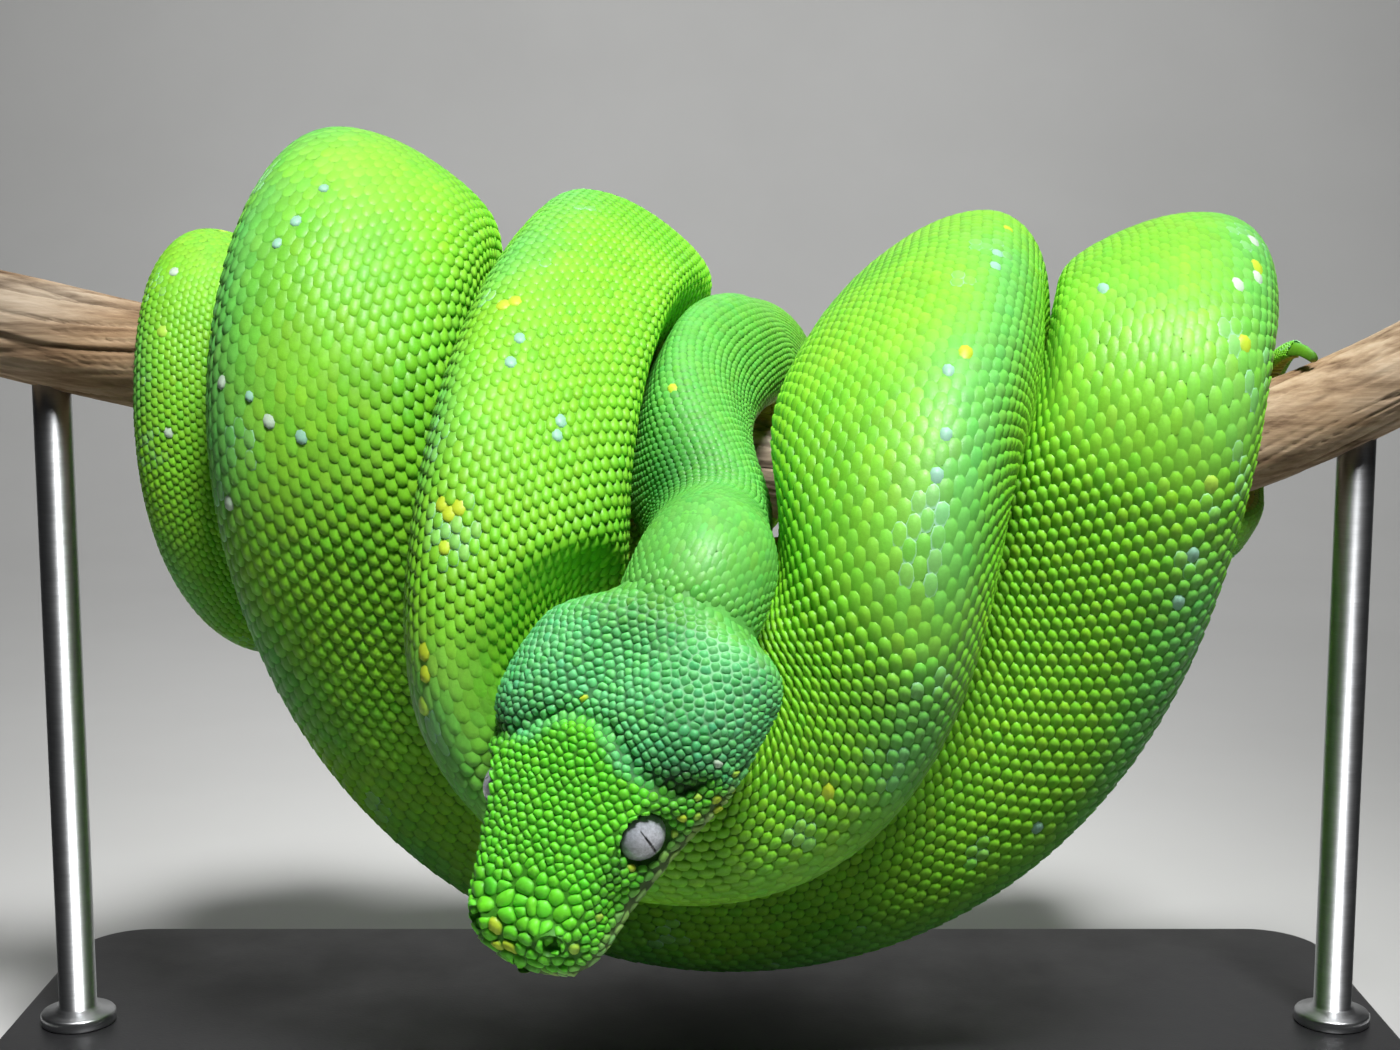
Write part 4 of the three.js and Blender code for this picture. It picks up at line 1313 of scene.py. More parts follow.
def cell_reach(seeds, ghosts, size, first, second):
    """How far each scale reaches in every direction before it meets its neighbours."""
    every = np.vstack([seeds, ghosts])
    tree = point_tree(every)
    rays = spokes(HEAD_SCALE_SIDES)
    reach = np.empty((len(seeds), HEAD_SCALE_SIDES))
    for i, seed in enumerate(seeds):
        found = [number for _, number, _ in tree.find_n(seed, 12) if number != i]
        offset = every[found] - seed
        flat = np.stack([offset @ first[i], offset @ second[i]], axis=1)
        square = np.sum(flat**2, axis=1)
        facing = np.maximum(rays @ flat.T, 1e-3)
        limits = np.hstack([square[None] / 2 / facing, np.full((len(rays), 1), 0.85 * size[i])])
        reach[i] = np.sum(limits**-9.0, axis=1) ** (-1 / 9)
    return reach


def head_depth(t):
    """The depth of the head's coat as a share of the body's, the same as it at the nape."""
    return lerp(1.0, 0.6, smooth(t, 0.0, 0.12))


def head_relief(local, size):
    """How high the head's scales stand, in millimetres."""
    t, from_crown, above = head_places(local)
    high = 0.38 * np.clip(size / 1.3, 0.7, 1.25)
    high *= lerp(0.5, 1.0, smooth(t, 0.0, 0.24))
    high *= lerp(1.0, 0.65, smooth(t, 0.34, 0.26) * bell(from_crown, 1.15, 0.45))
    lip = smooth(np.abs(above), 3.8, 2.6) * smooth(t, 0.44, 0.58)
    return high * lerp(1.0, 0.40, lip)


def build_head_coat(settings):
    """The scales of the head: beads on the crown and jowls, plates on the snout and lips."""
    head = shapes()[2]
    rng = np.random.default_rng(HEAD_SEED)
    surface = head.local.reshape(-1, 3)
    surface_out = (head.normal @ HEAD_TURN.T).reshape(-1, 3)
    finder = point_tree(surface)
    seeds = head_seeds(head, finder, rng)
    normal = unit(surface_out[nearest(finder, seeds)])
    first = unit(np.array([0, 0, 1.0]) - normal * normal[:, 2:3] + np.array([1e-4, 0, 0]))
    second = np.cross(normal, first)
    size = head_scale_size(seeds)
    reach = cell_reach(seeds, eye_rings(-RING_IN), size, first, second)
    wide = reach.mean(axis=1)
    plate = smooth(wide, 0.85, 1.3)[:, None]
    rays = spokes(HEAD_SCALE_SIDES)
    spread = rays[:, :1] * first[:, None] + rays[:, 1:] * second[:, None]
    ring = seeds[:, None] + spread * (reach * lerp(0.74, 0.86, plate))[..., None]
    rim = seeds[:, None] + spread * (reach * 1.02)[..., None]
    flat = np.concatenate([seeds[:, None], ring, rim], axis=1).reshape(-1, 3)
    near = nearest(finder, flat)
    out = unit(surface_out[near])
    flat = flat - out * np.sum((flat - surface[near]) * out, axis=1, keepdims=True)
    high = head_relief(seeds, wide * 2) * rng.normal(1, 0.10, len(seeds))
    edge = lerp(0.70, 0.90, plate) - HEAD_SCALE_TILT * rays[:, 0]
    lift = np.concatenate([np.ones((len(seeds), 1)), edge, np.full(reach.shape, -0.25)], axis=1)
    sunk = head_depth(seeds[:, 2] / HEAD["length"]) * settings.coat_depth / MM
    rise = lift * high[:, None] - sunk[:, None]
    points = head_world(flat + out * rise.reshape(-1, 1))
    faces = [repeated(part, len(seeds), rise.shape[1]) for part in scale_faces(HEAD_SCALE_SIDES)]
    colour = head_colour(seeds, wander(seeds, HEAD_DRIFT))
    colour *= rng.normal(1, 0.06, len(seeds))[:, None]
    colour *= 1 + rng.normal(0, 1, (len(seeds), 3)) * np.array([0.08, 0.02, 0.10])
    head_marks(seeds, colour)
    # Painted highlight on the middle of each head scale.
    painted_highlight_and_shade = np.array([1.06] + [1.0] * HEAD_SCALE_SIDES)
    tint = scale_tint(colour, painted_highlight_and_shade, head_crevice(seeds), HEAD_SCALE_SIDES)
    t = np.clip(seeds[:, 2] / HEAD["length"], 0, 1)
    root = unwrap_head(t, np.arctan2(seeds[:, 0], seeds[:, 1]))
    uv = root[:, None] + np.vstack([[[0, 0]], rays * 0.8, rays]) * PATCH_HALF
    coat_piece("coat_head", points, faces, tint, uv)


def build_coat(settings):
    """The whole coat: the body's scales length by length, the belly's plates, the head's scales."""
    rng = np.random.default_rng(BODY_SEED)
    start = COAT_START
    for name, end in shapes()[0].ends.items():
        rows = round(settings.scale_rows * ROW_SHARES.get(name, 1.0))
        if name.startswith("tail"):
            last = end - BARE_TIP if name == "tail" else end
            place_scales(f"coat_{name}", start, last, rows, settings, rng)
        else:
            pieces = math.ceil((end - start) / LONGEST_PIECE)
            cuts = [lerp(start, end, piece / pieces) for piece in range(pieces + 1)]
            for number, (first, last) in enumerate(zip(cuts, cuts[1:]), 1):
                place_scales(f"coat_{name}_{number}", first, last, rows, settings, rng)
        start = end
    belly_plates(settings)
    build_head_coat(settings)


# Marked scales of the head: place along it, degrees from the crown, the paint.
HEAD_MARKS = [
    (0.334, -9, "gold"), (0.375, 75, "white"), (0.672, 74, "yellow"), (0.972, -7, "yellow"),
    (0.958, -16, "yellow"), (0.985, -30, "yellow"), (0.435, 92, "yellow"), (0.465, 80, "lemon"),
    (0.40, 97, "yellow"), (0.49, 86, "lemon"), (0.37, 92, "lemon"), (0.523, 82, "yellow"),
    (0.56, 86, "lemon"), (0.90, 64, "lemon"), (0.82, 68, "lemon"), (0.45, 97, "yellow"),
]


def head_marks(seeds, colour):
    """Paints the marked scales of the head."""
    t = seeds[:, 2] / HEAD["length"]
    angle = np.arctan2(seeds[:, 0], seeds[:, 1])
    for place, degrees, paint_name in HEAD_MARKS:
        apart = np.hypot((t - place) * HEAD["length"], (angle - math.radians(degrees)) * 11)
        colour[np.argmin(apart)] = PAINTS[paint_name]


def head_crevice(local):
    """The colour between the head's scales: dark with painted shade, but pale on the swollen jowls and
    nape.
    """
    t, from_crown, _ = head_places(local)
    base = head_colour(local, np.zeros(len(local)))
    jowl = smooth(t, 0.36, 0.24) * bell(from_crown, 1.05, 0.45)
    pale = np.maximum(jowl, 0.7 * smooth(t, 0.16, 0.05))
    # Painted shade in the crevices between the head's scales.
    dark = base * 0.32
    return mix(dark, mix(base, CREVICE_PALE, 0.55 * smooth(t, 0.0, 0.08)), pale)


# ---------------------------------------------------------------- finishes

class Finish:
    """A material under construction: its tree, its shader and short ways to add nodes."""

    def __init__(self, name, **sockets):
        self.material = bpy.data.materials.new(name)
        self.material.use_nodes = True
        self.tree = self.material.node_tree
        self.shader = self.tree.nodes["Principled BSDF"]
        for label, value in sockets.items():
            self.shader.inputs[label.replace("_", " ")].default_value = value
        self.place = self.add("ShaderNodeTexCoord").outputs["Object"]

    def plug(self, value, socket):
        """Links a socket, or sets a plain value."""
        if isinstance(value, bpy.types.NodeSocket):
            self.tree.links.new(value, socket)
        else:
            socket.default_value = value

    def give(self, label, value):
        """Links a value to one of the shader's sockets."""
        self.plug(value, self.shader.inputs[label])

    def tint(self, name="tint", output="Color"):
        """What the mesh stores for each of its points."""
        return self.add("ShaderNodeAttribute", attribute_name=name).outputs[output]

    def add(self, kind, inputs=None, **settings):
        """A new node with its settings and inputs."""
        node = self.tree.nodes.new(kind)
        for label, value in settings.items():
            setattr(node, label, value)
        for label, value in (inputs or {}).items():
            self.plug(value, node.inputs[label])
        return node

    def noise(self, scale, detail=3.0, rough=0.55, stretch=None):
        """A soft noise in the object's own space, stretched where asked."""
        vector = self.place
        if stretch is not None:
            vector = self.add("ShaderNodeMapping", {"Vector": vector, "Scale": stretch}).outputs[0]
        inputs = {"Vector": vector, "Scale": scale, "Detail": detail, "Roughness": rough}
        return self.add("ShaderNodeTexNoise", inputs).outputs["Fac"]

    def span(self, value, low, high, start=0.0, end=1.0):
        """A value from start to end spread over low to high."""
        inputs = {"Value": value, "From Min": start, "From Max": end, "To Min": low, "To Max": high}
        return self.add("ShaderNodeMapRange", inputs).outputs["Result"]

    def blend(self, a, b, factor=1.0, kind="MIX"):
        """Two colours mixed or multiplied."""
        node = self.add("ShaderNodeMix", data_type="RGBA", blend_type=kind)
        colours = [socket for socket in node.inputs if socket.type == "RGBA"]
        self.plug(factor, node.inputs["Factor"])
        self.plug(a, colours[0])
        self.plug(b, colours[1])
        return next(socket for socket in node.outputs if socket.type == "RGBA")

    def bump(self, height, strength, distance):
        """Adds a fine relief to the shader's normal."""
        inputs = {"Height": height, "Strength": strength, "Distance": distance}
        before = self.shader.inputs["Normal"]
        if before.is_linked:
            inputs["Normal"] = before.links[0].from_socket
        node = self.add("ShaderNodeBump", inputs)
        self.tree.links.new(node.outputs["Normal"], before)

    def ramp(self, value, stops):
        """Colours along a value."""
        node = self.add("ShaderNodeValToRGB", {"Fac": value})
        points = node.color_ramp.elements
        while len(points) < len(stops):
            points.new(0.5)
        for point, (place, colour) in zip(points, stops):
            point.position = place
            point.color = (*colour, 1)
        return node.outputs["Color"]


def hide_material(name, rough, mottle, relief):
    """Living hide: the stored tint, broken up by fine mottling, with a satin gloss."""
    if name in bpy.data.materials:
        return bpy.data.materials[name]
    finish = Finish(name, Specular_IOR_Level=0.35, Coat_Weight=0.06, Coat_Roughness=0.3)
    tint = finish.tint()
    speckle = finish.span(finish.noise(1400.0, 4.0), 1 - mottle, 1 + mottle, 0.25, 0.75)
    cloud = finish.span(finish.noise(160.0, 2.0), 1 - mottle, 1 + mottle, 0.3, 0.7)
    colour = finish.blend(tint, speckle, kind="MULTIPLY")
    colour = finish.blend(colour, cloud, kind="MULTIPLY")
    finish.give("Base Color", colour)
    gloss = finish.span(finish.noise(2200.0, 3.0), rough - 0.08, rough + 0.1, 0.3, 0.7)
    finish.give("Roughness", gloss)
    finish.bump(finish.noise(3500.0, 4.0), relief, 0.0002)
    return finish.material


def skin_material():
    """The skin, which shows in the creases between scales."""
    return hide_material("python_skin", 0.6, 0.10, 0.35)


def scale_material():
    """The scales: glossier and smoother than the skin."""
    return hide_material("python_scale", 0.46, 0.07, 0.18)


def eye_material():
    """A silver eye: its stored tint under a clear, wet cap."""
    finish = Finish("python_eye", Roughness=0.12, Specular_IOR_Level=0.6, Coat_Weight=1.0,
                    Coat_Roughness=0.04)
    tint = finish.tint()
    grain = finish.span(finish.noise(2600.0, 5.0, 0.7), 0.72, 1.2, 0.3, 0.7)
    colour = finish.blend(tint, grain, kind="MULTIPLY")
    finish.give("Base Color", colour)
    finish.bump(finish.noise(1200.0, 2.0), 0.05, 0.0001)
    return finish.material


def wood_material():
    """Bare weathered wood: tan and grey-brown fibres with dark cracks."""
    finish = Finish("weathered_wood", Specular_IOR_Level=0.25)
    depth = finish.tint()
    fibre = finish.noise(300.0, 8.0, 0.65, (0.06, 1.0, 1.0))
    patch = finish.noise(28.0, 3.0, 0.5, (0.35, 1.0, 1.0))
    grain = finish.ramp(fibre, [(0.30, (0.16, 0.085, 0.04)), (0.46, (0.42, 0.27, 0.15)),
                                (0.58, (0.60, 0.42, 0.26)), (0.75, (0.78, 0.62, 0.43))])
    grey = finish.ramp(fibre, [(0.30, (0.12, 0.09, 0.06)), (0.5, (0.46, 0.38, 0.29)),
                               (0.75, (0.72, 0.64, 0.53))])
    colour = finish.blend(grain, grey, finish.span(patch, 0, 0.8, 0.42, 0.62))
    colour = finish.blend(colour, depth, kind="MULTIPLY")
    finish.give("Base Color", colour)
    finish.give("Roughness", finish.span(fibre, 0.7, 0.95, 0.3, 0.7))
    finish.bump(fibre, 0.5, 0.0006)
    return finish.material


def end_grain_material():
    """The sawn ends of the perch: rings with fine saw marks."""
    finish = Finish("sawn_end", Specular_IOR_Level=0.25, Roughness=0.8)
    centre = finish.tint("ring", "Fac")
    wave = finish.add("ShaderNodeMath", {0: centre, 1: 70.0}, operation="MULTIPLY").outputs[0]
    wave = finish.add("ShaderNodeMath", {0: wave}, operation="SINE").outputs[0]
    rings = finish.ramp(finish.span(wave, 0, 1, -1, 1), [(0.0, (0.55, 0.38, 0.22)),
                                                         (1.0, (0.72, 0.54, 0.34))])
    dirt = finish.span(finish.noise(220.0, 5.0), 0.7, 1.1, 0.3, 0.7)
    finish.give("Base Color", finish.blend(rings, dirt, kind="MULTIPLY"))
    finish.bump(finish.noise(900.0, 3.0, 0.5, (1.0, 0.15, 1.0)), 0.3, 0.0003)
    return finish.material


def steel_material():
    """Brushed steel, its fine lines running round the rod."""
    finish = Finish("brushed_steel", Metallic=1.0)
    lines = finish.noise(900.0, 3.0, 0.6, (0.25, 0.25, 7.0))
    metal = finish.ramp(lines, [(0.3, (0.50, 0.51, 0.52)), (0.7, (0.60, 0.61, 0.62))])
    finish.give("Base Color", metal)
    finish.give("Roughness", finish.span(lines, 0.28, 0.36, 0.3, 0.7))
    finish.bump(lines, 0.03, 0.0001)
    return finish.material


def base_material():
    """Dark satin paint with a very fine texture."""
    finish = Finish("satin_paint", Specular_IOR_Level=0.5)
    orange_peel = finish.noise(1600.0, 2.0)
    dust = finish.noise(35.0, 5.0, 0.65)
    black = finish.ramp(dust, [(0.3, (0.018, 0.018, 0.019)), (0.7, (0.028, 0.028, 0.030))])
    finish.give("Base Color", black)
    finish.give("Roughness", finish.span(dust, 0.36, 0.50, 0.3, 0.7))
    finish.bump(orange_peel, 0.12, 0.0002)
    return finish.material


def backdrop_material():
    """Pale matt studio paper."""
    finish = Finish("studio_paper", Roughness=0.9, Specular_IOR_Level=0.2)
    paper = finish.ramp(finish.noise(6.0, 4.0), [(0.3, (0.60, 0.60, 0.59)), (0.7, (0.64, 0.64, 0.63))])
    finish.give("Base Color", paper)
    return finish.material


# ---------------------------------------------------------------- eyes

IRIS_PALE = np.array([0.68, 0.70, 0.75])
IRIS_GREY = np.array([0.44, 0.47, 0.52])
EYE_EDGE = np.array([0.02, 0.025, 0.02])
PUPIL_BLACK = np.array([0.006, 0.006, 0.006])
# Shares of the eyeball's radius: half the pupil's width and height.
PUPIL_WIDE = 0.040
PUPIL_HIGH = 0.60
# The eyeball is this much smaller than its socket, and has this many rings and points in each.
EYE_EASE = 0.02
EYE_RINGS = 48
EYE_ROUND = 72


def eye_colour(across, up, front):
    """The eye's colour at places on a ball of radius 1."""
    round_end = np.sqrt(np.clip(1 - (up / PUPIL_HIGH) ** 2, 0.001, 1))
    slit = smooth(np.abs(across) / (PUPIL_WIDE * round_end), 1.6, 0.8)
    slit = slit * (np.abs(up) < PUPIL_HIGH + 0.01) * (front > 0)
    ring, turn = np.hypot(across, up), np.arctan2(across, up)
    colour = mix(IRIS_PALE, IRIS_GREY, smooth(ring, 0.3, 0.85))
    # Painted shade: the lower part of the eye is darker.
    colour = colour * (1 - 0.35 * smooth(up, -0.2, -0.8))[:, None]
    streak = np.sin(turn * 23) * np.sin(turn * 9 + 1)
    colour = colour * (1 + 0.10 * streak * smooth(ring, 0.1, 0.5))[:, None]
    colour = mix(colour, EYE_EDGE, smooth(ring, 0.87, 0.93))
    return mix(colour, PUPIL_BLACK, slit)


def build_eyes():
    """The two eyeballs: silver irises with narrow upright pupils, set deep in their sockets."""
    material = eye_material()
    polar = np.arange(1, EYE_RINGS) * math.pi / EYE_RINGS
    turn = np.arange(EYE_ROUND) * TURN / EYE_ROUND
    across = np.outer(np.sin(polar), np.sin(turn)).ravel()
    up = np.outer(np.sin(polar), np.cos(turn)).ravel()
    front = np.repeat(np.cos(polar), EYE_ROUND)
    places = np.vstack([[[0, 0, 1]], np.stack([across, up, front], axis=1), [[0, 0, -1]]])
    grid = 1 + np.arange(across.size).reshape(-1, EYE_ROUND)
    quads = round_quads(grid, clockwise=True)
    fans = np.vstack([
        np.stack([np.zeros(EYE_ROUND, int), np.roll(grid[0], -1), grid[0]], axis=1),
        fan(grid[-1], len(places) - 1)[:, [2, 0, 1]],
    ])
    for side, node in ((1, "eye_left"), (-1, "eye_right")):
        look = mirrored(EYE_LOOK, side)
        upright = np.array([0, 1.0, -0.25])
        upright = unit(upright - look * look.dot(upright))
        ball = places @ np.array([np.cross(look, upright), upright, look])
        points = mirrored(EYE_PLACE, side) + ball * (HEAD["eye_radius"] - EYE_EASE)
        faces = [quads[:, ::-1], fans[:, ::-1]] if side > 0 else [quads, fans]
        eye = new_mesh(node, head_world(points), faces, material)
        paint(eye, "tint", eye_colour(*places.T))
        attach(eye, "root")
        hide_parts(node)


# ---------------------------------------------------------------- perch and stand

# The perch has this many stations along it, points round each and rings over each sawn end.
PERCH_STATIONS = 420
PERCH_ROUND = 176
END_RINGS = 8


def wood_noise(*place):
    """Noise at a place in the wood, from -1 to 1."""
    return noise.noise(Vector(place))


def bark_point(x, angle, crack_depth):
    """How far a point of the perch lies inside its cylinder, and how light it is."""
    twist = wood_noise(x * 0.012, 5.0, 1.0) * 1.4
    cosine, sine = math.cos(angle + twist), math.sin(angle + twist)
    wide = wood_noise(x * 0.013, cosine * 2.1, sine * 2.1 + 7)
    fine = wood_noise(x * 0.03, cosine * 5.2 + 3, sine * 5.2)
    fibre = wood_noise(x * 0.06, cosine * 17, sine * 17 + 2)
    lump = wood_noise(x * 0.03, math.cos(angle) * 0.9, math.sin(angle) * 0.9 + 4)
    strength = 0.5 + 0.5 * wood_noise(x * 0.03 + 9, cosine * 2, sine * 2)
    crack = math.exp(-((wide / 0.045) ** 2)) + 0.45 * math.exp(-((fine / 0.05) ** 2))
    inward = crack_depth * crack * strength + 0.22 * abs(fibre) + 0.5 * (0.5 + lump)
    return inward, 1.0 - 0.75 * min(1.0, crack * strength)


def sawn_end(ring, numbers, centre, first, backwards):
    """Closes one end of the perch: the new points, how far out they lie, their faces."""
    points, shares, quads = [], [], []
    for step in range(1, END_RINGS + 1):
        share = step / (END_RINGS + 1)
        inner = first + np.arange(PERCH_ROUND)
        points.append(lerp(ring, centre, share))
        shares.append(np.full(PERCH_ROUND, 1 - share))
        quads.append(np.stack([numbers, np.roll(numbers, -1), np.roll(inner, -1), inner], axis=1))
        numbers = inner
        first += PERCH_ROUND
    quads, triangles = np.vstack(quads), fan(numbers, first)
    if backwards:
        quads, triangles = quads[:, ::-1], triangles[:, ::-1]
    points = np.vstack([*points, centre[None]])
    return points, np.concatenate([*shares, [0]]), quads, triangles


def build_perch(settings):
    """The cut length of weathered branch: cracked lengthways, sawn at both ends."""
    low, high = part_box("perch_branch")
    x = np.linspace(low.x / MM - COIL_PLACE[0], high.x / MM - COIL_PLACE[0], PERCH_STATIONS)
    turn = np.arange(PERCH_ROUND) * TURN / PERCH_ROUND
    crack_depth = settings.crack_depth / MM
    bark = np.array([[bark_point(place, angle, crack_depth) for angle in turn] for place in x])
    radius = PERCH["radius"] - bark[..., 0]
    axis = perch_height(x)
    points = np.stack([np.broadcast_to(x[:, None], radius.shape), np.cos(turn) * radius,
                       axis[:, None] + np.sin(turn) * radius], axis=-1)
    grid = np.arange(radius.size).reshape(radius.shape)
    blocks, shares, quads, triangles = [points.reshape(-1, 3)], [np.ones(radius.size)], [], []
    for row in (0, -1):
        centre = np.array([x[row], 0, axis[row]])
        first = sum(len(block) for block in blocks)
        block, share, *faces = sawn_end(points[row], grid[row], centre, first, row == 0)
        blocks.append(block)
        shares.append(share)
        quads.append(faces[0])
        triangles.append(faces[1])
    sides = round_quads(grid)
    branch = new_mesh("branch", np.vstack(blocks), [sides, *quads, *triangles], wood_material())
    branch.data.materials.append(end_grain_material())
    index = np.zeros(len(branch.data.polygons), np.int32)
    index[len(sides):] = 1
    branch.data.polygons.foreach_set("material_index", index)
    shares = np.concatenate(shares)
    light = np.ones(len(shares))
    light[: radius.size] = bark[..., 1].ravel()
    paint(branch, "tint", np.repeat(light[:, None], 3, axis=1))
    ring = branch.data.attributes.new("ring", "FLOAT", "POINT")
    ring.data.foreach_set("value", shares.astype(np.float32))
    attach(branch, "root")
    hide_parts("perch_branch")


def lathe(name, centre, profile, material, segments=64):
    """A turned piece about an upright axis, from rows of radius and height."""
    ring = spokes(segments)
    points = np.vstack([np.column_stack([ring * radius + centre, np.full(segments, height)])
                        for radius, height in profile])
    quads = round_quads(np.arange(len(points)).reshape(-1, segments), clockwise=True)
    return new_mesh(name, points - COIL_PLACE, [quads], material)


# A rod's softened edge, and its collar: how far out from the rod and how far over the base.
ROD_EDGE = 0.4
COLLAR = [(0, 0), (3.2, 0.02), (3.5, 0.3), (3.5, 1.9), (3.2, 2.3), (0.9, 2.6), (0.4, 3.2), (0, 3.3)]


def build_stand(settings):
    """The plain display stand: a rounded flat base and two steel rods with turned collars."""
    steel = steel_material()
    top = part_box("stand_base")[1].z / MM
    for name in ("stand_rod_left", "stand_rod_right"):
        low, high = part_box(name)
        centre = np.array([(low.x + high.x) / 2, (low.y + high.y) / 2]) / MM
        radius = (high.x - low.x) / 2 / MM
        bottom, end = low.z / MM, high.z / MM
        collar = [(radius + out, top + up) for out, up in COLLAR]
        profile = [(0.01, bottom), (radius - ROD_EDGE, bottom), (radius, bottom + ROD_EDGE),
                   *collar, (radius, end - ROD_EDGE), (radius - ROD_EDGE, end), (0.01, end)]
        rod = lathe(name, centre, profile, steel)
        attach(rod, "root")
        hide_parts(name)
    build_base(settings)


def base_outline(half, corner):
    """The base's outline about its middle, with rounded corners."""
    arc = np.linspace(0, math.pi / 2, 13)
    sides = []
    for start, right, back in ((0, 1, 1), (1, -1, 1), (2, -1, -1), (3, 1, -1)):
        angle = arc + start * math.pi / 2
        sides.append(np.stack([right * (half[0] - corner) + corner * np.cos(angle),
                               back * (half[1] - corner) + corner * np.sin(angle)], axis=1))
    return np.vstack(sides)


def build_base(settings):
    """The base plate, its corners rounded and its edges softened."""
    low, high = (np.array(corner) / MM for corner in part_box("stand_base"))
    edge = settings.base_edge / MM
    outline = base_outline((high - low)[:2] / 2, settings.base_corner / MM)
    inward = unit(np.stack([np.gradient(outline[:, 1]), -np.gradient(outline[:, 0])], axis=1))
    middle = (low[:2] + high[:2]) / 2
    steps = np.linspace(0, math.pi / 2, 7)
    up, inset = edge * (1 - np.cos(steps)), edge * (1 - np.sin(steps))
    heights = np.concatenate([low[2] + up, high[2] - up[::-1]])
    rings = [np.column_stack([middle + outline - inward * inside, np.full(len(outline), height)])
             for height, inside in zip(heights, np.concatenate([inset, inset[::-1]]))]
    points = np.vstack([*rings, [[*middle, low[2]]], [[*middle, high[2]]]])
    grid = np.arange(len(heights) * len(outline)).reshape(len(heights), len(outline))
    under = fan(grid[0], len(points) - 2)[:, [1, 0, 2]]
    faces = [round_quads(grid, clockwise=True), under, fan(grid[-1], len(points) - 1)]
    base = new_mesh("stand_base", points - COIL_PLACE, faces, base_material())
    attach(base, "root")
    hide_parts("stand_base")


# ---------------------------------------------------------------- stage, light and camera

# The floor curves up behind the coil, in metres: its width, its front edge, the place and
# height of its back edge, and the radius of the curve.
FLOOR = {"width": 3.2, "front": -1.6, "back": 1.1, "rise": 1.8, "bend": 0.5}
# The lights: setting that gives the power and a share of it, place, size and spread in degrees.
LIGHTS = {
    "key": ("key_power", 1.0, (0.15, -0.40, 0.98), 0.24, 36),
    "top": ("key_power", 1.9, (0.10, 0.45, 1.45), 1.0, 120),
    "fill": ("fill_power", 1.0, (0.9, -0.9, 0.55), 0.9, 160),
    "paper": ("paper_power", 1.0, (0, 0.35, 0.75), 0.8, 150),
}
# The paper light looks at this height of the backdrop, and the others at the coil.
PAPER_HEIGHT = 0.35
ROOM_COLOUR = (0.9, 0.95, 1.0, 1)


def build_floor():
    """A pale floor that curves up behind."""
    bend, start = FLOOR["bend"], FLOOR["back"] - FLOOR["bend"]
    curve = [math.pi / 2 * step / 16 for step in range(17)]
    profile = [(FLOOR["front"], 0.0)]
    profile += [(start + bend * math.sin(turn), bend * (1 - math.cos(turn))) for turn in curve]
    profile.append((FLOOR["back"], FLOOR["rise"]))
    half = FLOOR["width"] / 2
    points = np.array([(x, y, z) for y, z in profile for x in (-half, half)]) / MM
    quads = np.array([(2 * i, 2 * i + 1, 2 * i + 3, 2 * i + 2) for i in range(len(profile) - 1)])
    sweep = new_mesh("studio_sweep", points - COIL_PLACE, [quads], backdrop_material())


def build_lights(settings):
    """Soft lights from above, one on the backdrop, and an even light all round."""
    for name, (power, share, place, size, spread) in LIGHTS.items():
        light = bpy.data.lights.new(name, "AREA")
        light.size = size
        light.energy = getattr(settings, power) * share
        light.spread = math.radians(spread)
        aim = Vector((0, FLOOR["back"], PAPER_HEIGHT) if name == "paper" else COIL_PLACE * MM)
        lamp = bpy.data.objects.new(name, light)
        lamp.location = place
        lamp.rotation_euler = (aim - Vector(place)).to_track_quat("-Z", "Y").to_euler()
        bpy.context.scene.collection.objects.link(lamp)
    world = bpy.data.worlds.new("studio")
    world.use_nodes = True
    ground = world.node_tree.nodes["Background"]
    ground.inputs["Color"].default_value = ROOM_COLOUR
    ground.inputs["Strength"].default_value = settings.sky
    bpy.context.scene.world = world


def build_camera(settings):
    """The camera, which looks a little down at the middle of the coil."""
    scene = bpy.context.scene
    scene.view_settings.view_transform = "Standard"
    scene.view_settings.look = "None"
    data = bpy.data.cameras.new("camera")
    data.sensor_width = 36
    data.lens = settings.lens
    data.clip_start = 0.01
    camera = bpy.data.objects.new("camera", data)
    look = Vector((0, math.cos(settings.tilt), -math.sin(settings.tilt)))
    camera.location = Vector(COIL_PLACE * MM) - look * settings.distance
    camera.rotation_euler = look.to_track_quat("-Z", "Y").to_euler()
    scene.collection.objects.link(camera)
    scene.camera = camera


def build_stage(settings):
    """The floor, the lights and the camera."""
    build_floor()
    build_lights(settings)
    build_camera(settings)


# ---------------------------------------------------------------- settings, operators, panel

class PythonSettings(PropertyGroup):
    """Sizes that a user would change on the snake."""

    coat_depth: FloatProperty(
        name="Coat depth", description="How far the scales stand over the skin",
        default=0.0006, min=0.0002, max=0.0012, unit="LENGTH", subtype="DISTANCE", precision=5)
    scale_rows: IntProperty(
        name="Scale rows", description="Rows of scales round the body, without the belly plates",
        default=57, min=21, max=71)


class StandSettings(PropertyGroup):
    """Sizes that a user would change on the perch and its stand."""

    crack_depth: FloatProperty(
        name="Crack depth", description="Depth of the cracks along the perch",
        default=0.0016, min=0, max=0.003, unit="LENGTH", subtype="DISTANCE", precision=5)
    base_corner: FloatProperty(
        name="Base corner", description="Radius of the base's corners, seen from above",
        default=0.014, min=0.002, max=0.05, unit="LENGTH", subtype="DISTANCE")
    base_edge: FloatProperty(
        name="Base edge", description="Radius that softens the base's edges",
        default=0.0015, min=0.0002, max=0.004, unit="LENGTH", subtype="DISTANCE", precision=5)


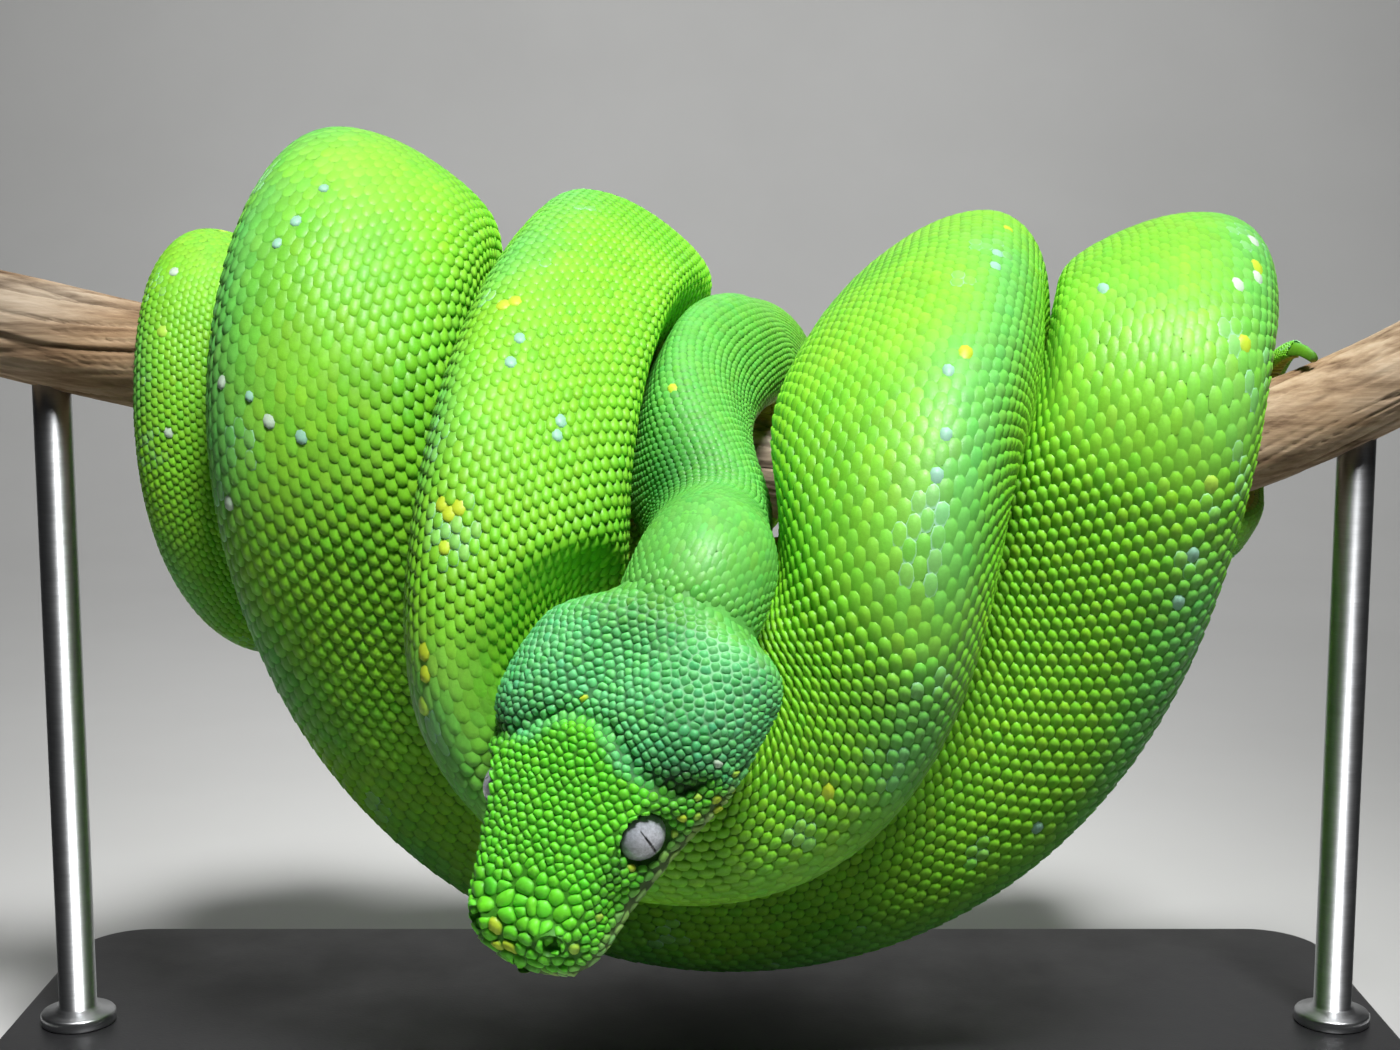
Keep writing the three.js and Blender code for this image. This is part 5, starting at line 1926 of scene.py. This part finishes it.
class StageSettings(PropertyGroup):
    """Lights and camera."""

    key_power: FloatProperty(name="Key light", description="Power of the main light",
                             default=0.72, min=0, unit="POWER")
    fill_power: FloatProperty(name="Fill light", description="Power of the light from the right",
                              default=0.06, min=0, unit="POWER")
    paper_power: FloatProperty(name="Paper light", description="Power of the light on the backdrop",
                               default=3.8, min=0, unit="POWER")
    sky: FloatProperty(name="Room light", description="Strength of the even light all round",
                       default=0.012, min=0)
    lens: FloatProperty(name="Lens", description="Focal length in millimetres",
                        default=54.13, min=10)
    distance: FloatProperty(name="Distance", description="From the camera to the coil's middle",
                            default=0.390, min=0.1, unit="LENGTH", subtype="DISTANCE")
    tilt: FloatProperty(name="Tilt", description="How far the camera looks down",
                        default=math.radians(8), unit="ROTATION", subtype="ANGLE")


class OBJECT_OT_python_skin(Operator):
    """Makes the skin over head and body"""

    bl_idname = "object.python_skin"
    bl_label = "Skin"

    def execute(self, context):
        build_skin(context.scene.python_settings)
        return {"FINISHED"}


class OBJECT_OT_python_coat(Operator):
    """Makes the scales over the body and the plates under its belly"""

    bl_idname = "object.python_coat"
    bl_label = "Coat of scales"

    def execute(self, context):
        build_coat(context.scene.python_settings)
        return {"FINISHED"}


class OBJECT_OT_python_eyes(Operator):
    """Makes the two eyes"""

    bl_idname = "object.python_eyes"
    bl_label = "Eyes"

    def execute(self, context):
        build_eyes()
        return {"FINISHED"}


class OBJECT_OT_python_perch(Operator):
    """Makes the cut length of branch"""

    bl_idname = "object.python_perch"
    bl_label = "Perch"

    def execute(self, context):
        build_perch(context.scene.stand_settings)
        return {"FINISHED"}


class OBJECT_OT_python_stand(Operator):
    """Makes the base and the two rods"""

    bl_idname = "object.python_stand"
    bl_label = "Stand"

    def execute(self, context):
        build_stand(context.scene.stand_settings)
        return {"FINISHED"}


class OBJECT_OT_python_stage(Operator):
    """Makes the floor, the lights and the camera"""

    bl_idname = "object.python_stage"
    bl_label = "Stage"

    def execute(self, context):
        build_stage(context.scene.stage_settings)
        return {"FINISHED"}


STEPS = (
    OBJECT_OT_python_stage, OBJECT_OT_python_skin, OBJECT_OT_python_coat,
    OBJECT_OT_python_eyes, OBJECT_OT_python_perch, OBJECT_OT_python_stand,
)


class VIEW3D_PT_python(Panel):
    """Lists the settings and the steps in the sidebar"""

    bl_idname = "VIEW3D_PT_python"
    bl_label = "Coiled python"
    bl_space_type = "VIEW_3D"
    bl_region_type = "UI"
    bl_category = "Python"

    def draw(self, context):
        for group in ("python_settings", "stand_settings", "stage_settings"):
            settings = getattr(context.scene, group)
            box = self.layout.box()
            for name in settings.__annotations__:
                box.prop(settings, name)
        for step in STEPS:
            self.layout.operator(step.bl_idname)


CLASSES = (PythonSettings, StandSettings, StageSettings, *STEPS, VIEW3D_PT_python)


def register():
    """Adds the settings, the operators and the panel."""
    for cls in CLASSES:
        bpy.utils.register_class(cls)
    bpy.types.Scene.python_settings = PointerProperty(type=PythonSettings)
    bpy.types.Scene.stand_settings = PointerProperty(type=StandSettings)
    bpy.types.Scene.stage_settings = PointerProperty(type=StageSettings)


def unregister():
    """Takes them away again."""
    for name in ("python_settings", "stand_settings", "stage_settings"):
        delattr(bpy.types.Scene, name)
    for cls in reversed(CLASSES):
        bpy.utils.unregister_class(cls)


def main():
    """Makes every piece."""
    register()
    for step in STEPS:
        family, name = step.bl_idname.split(".")
        getattr(getattr(bpy.ops, family), name)()


if __name__ == "__main__":
    main()
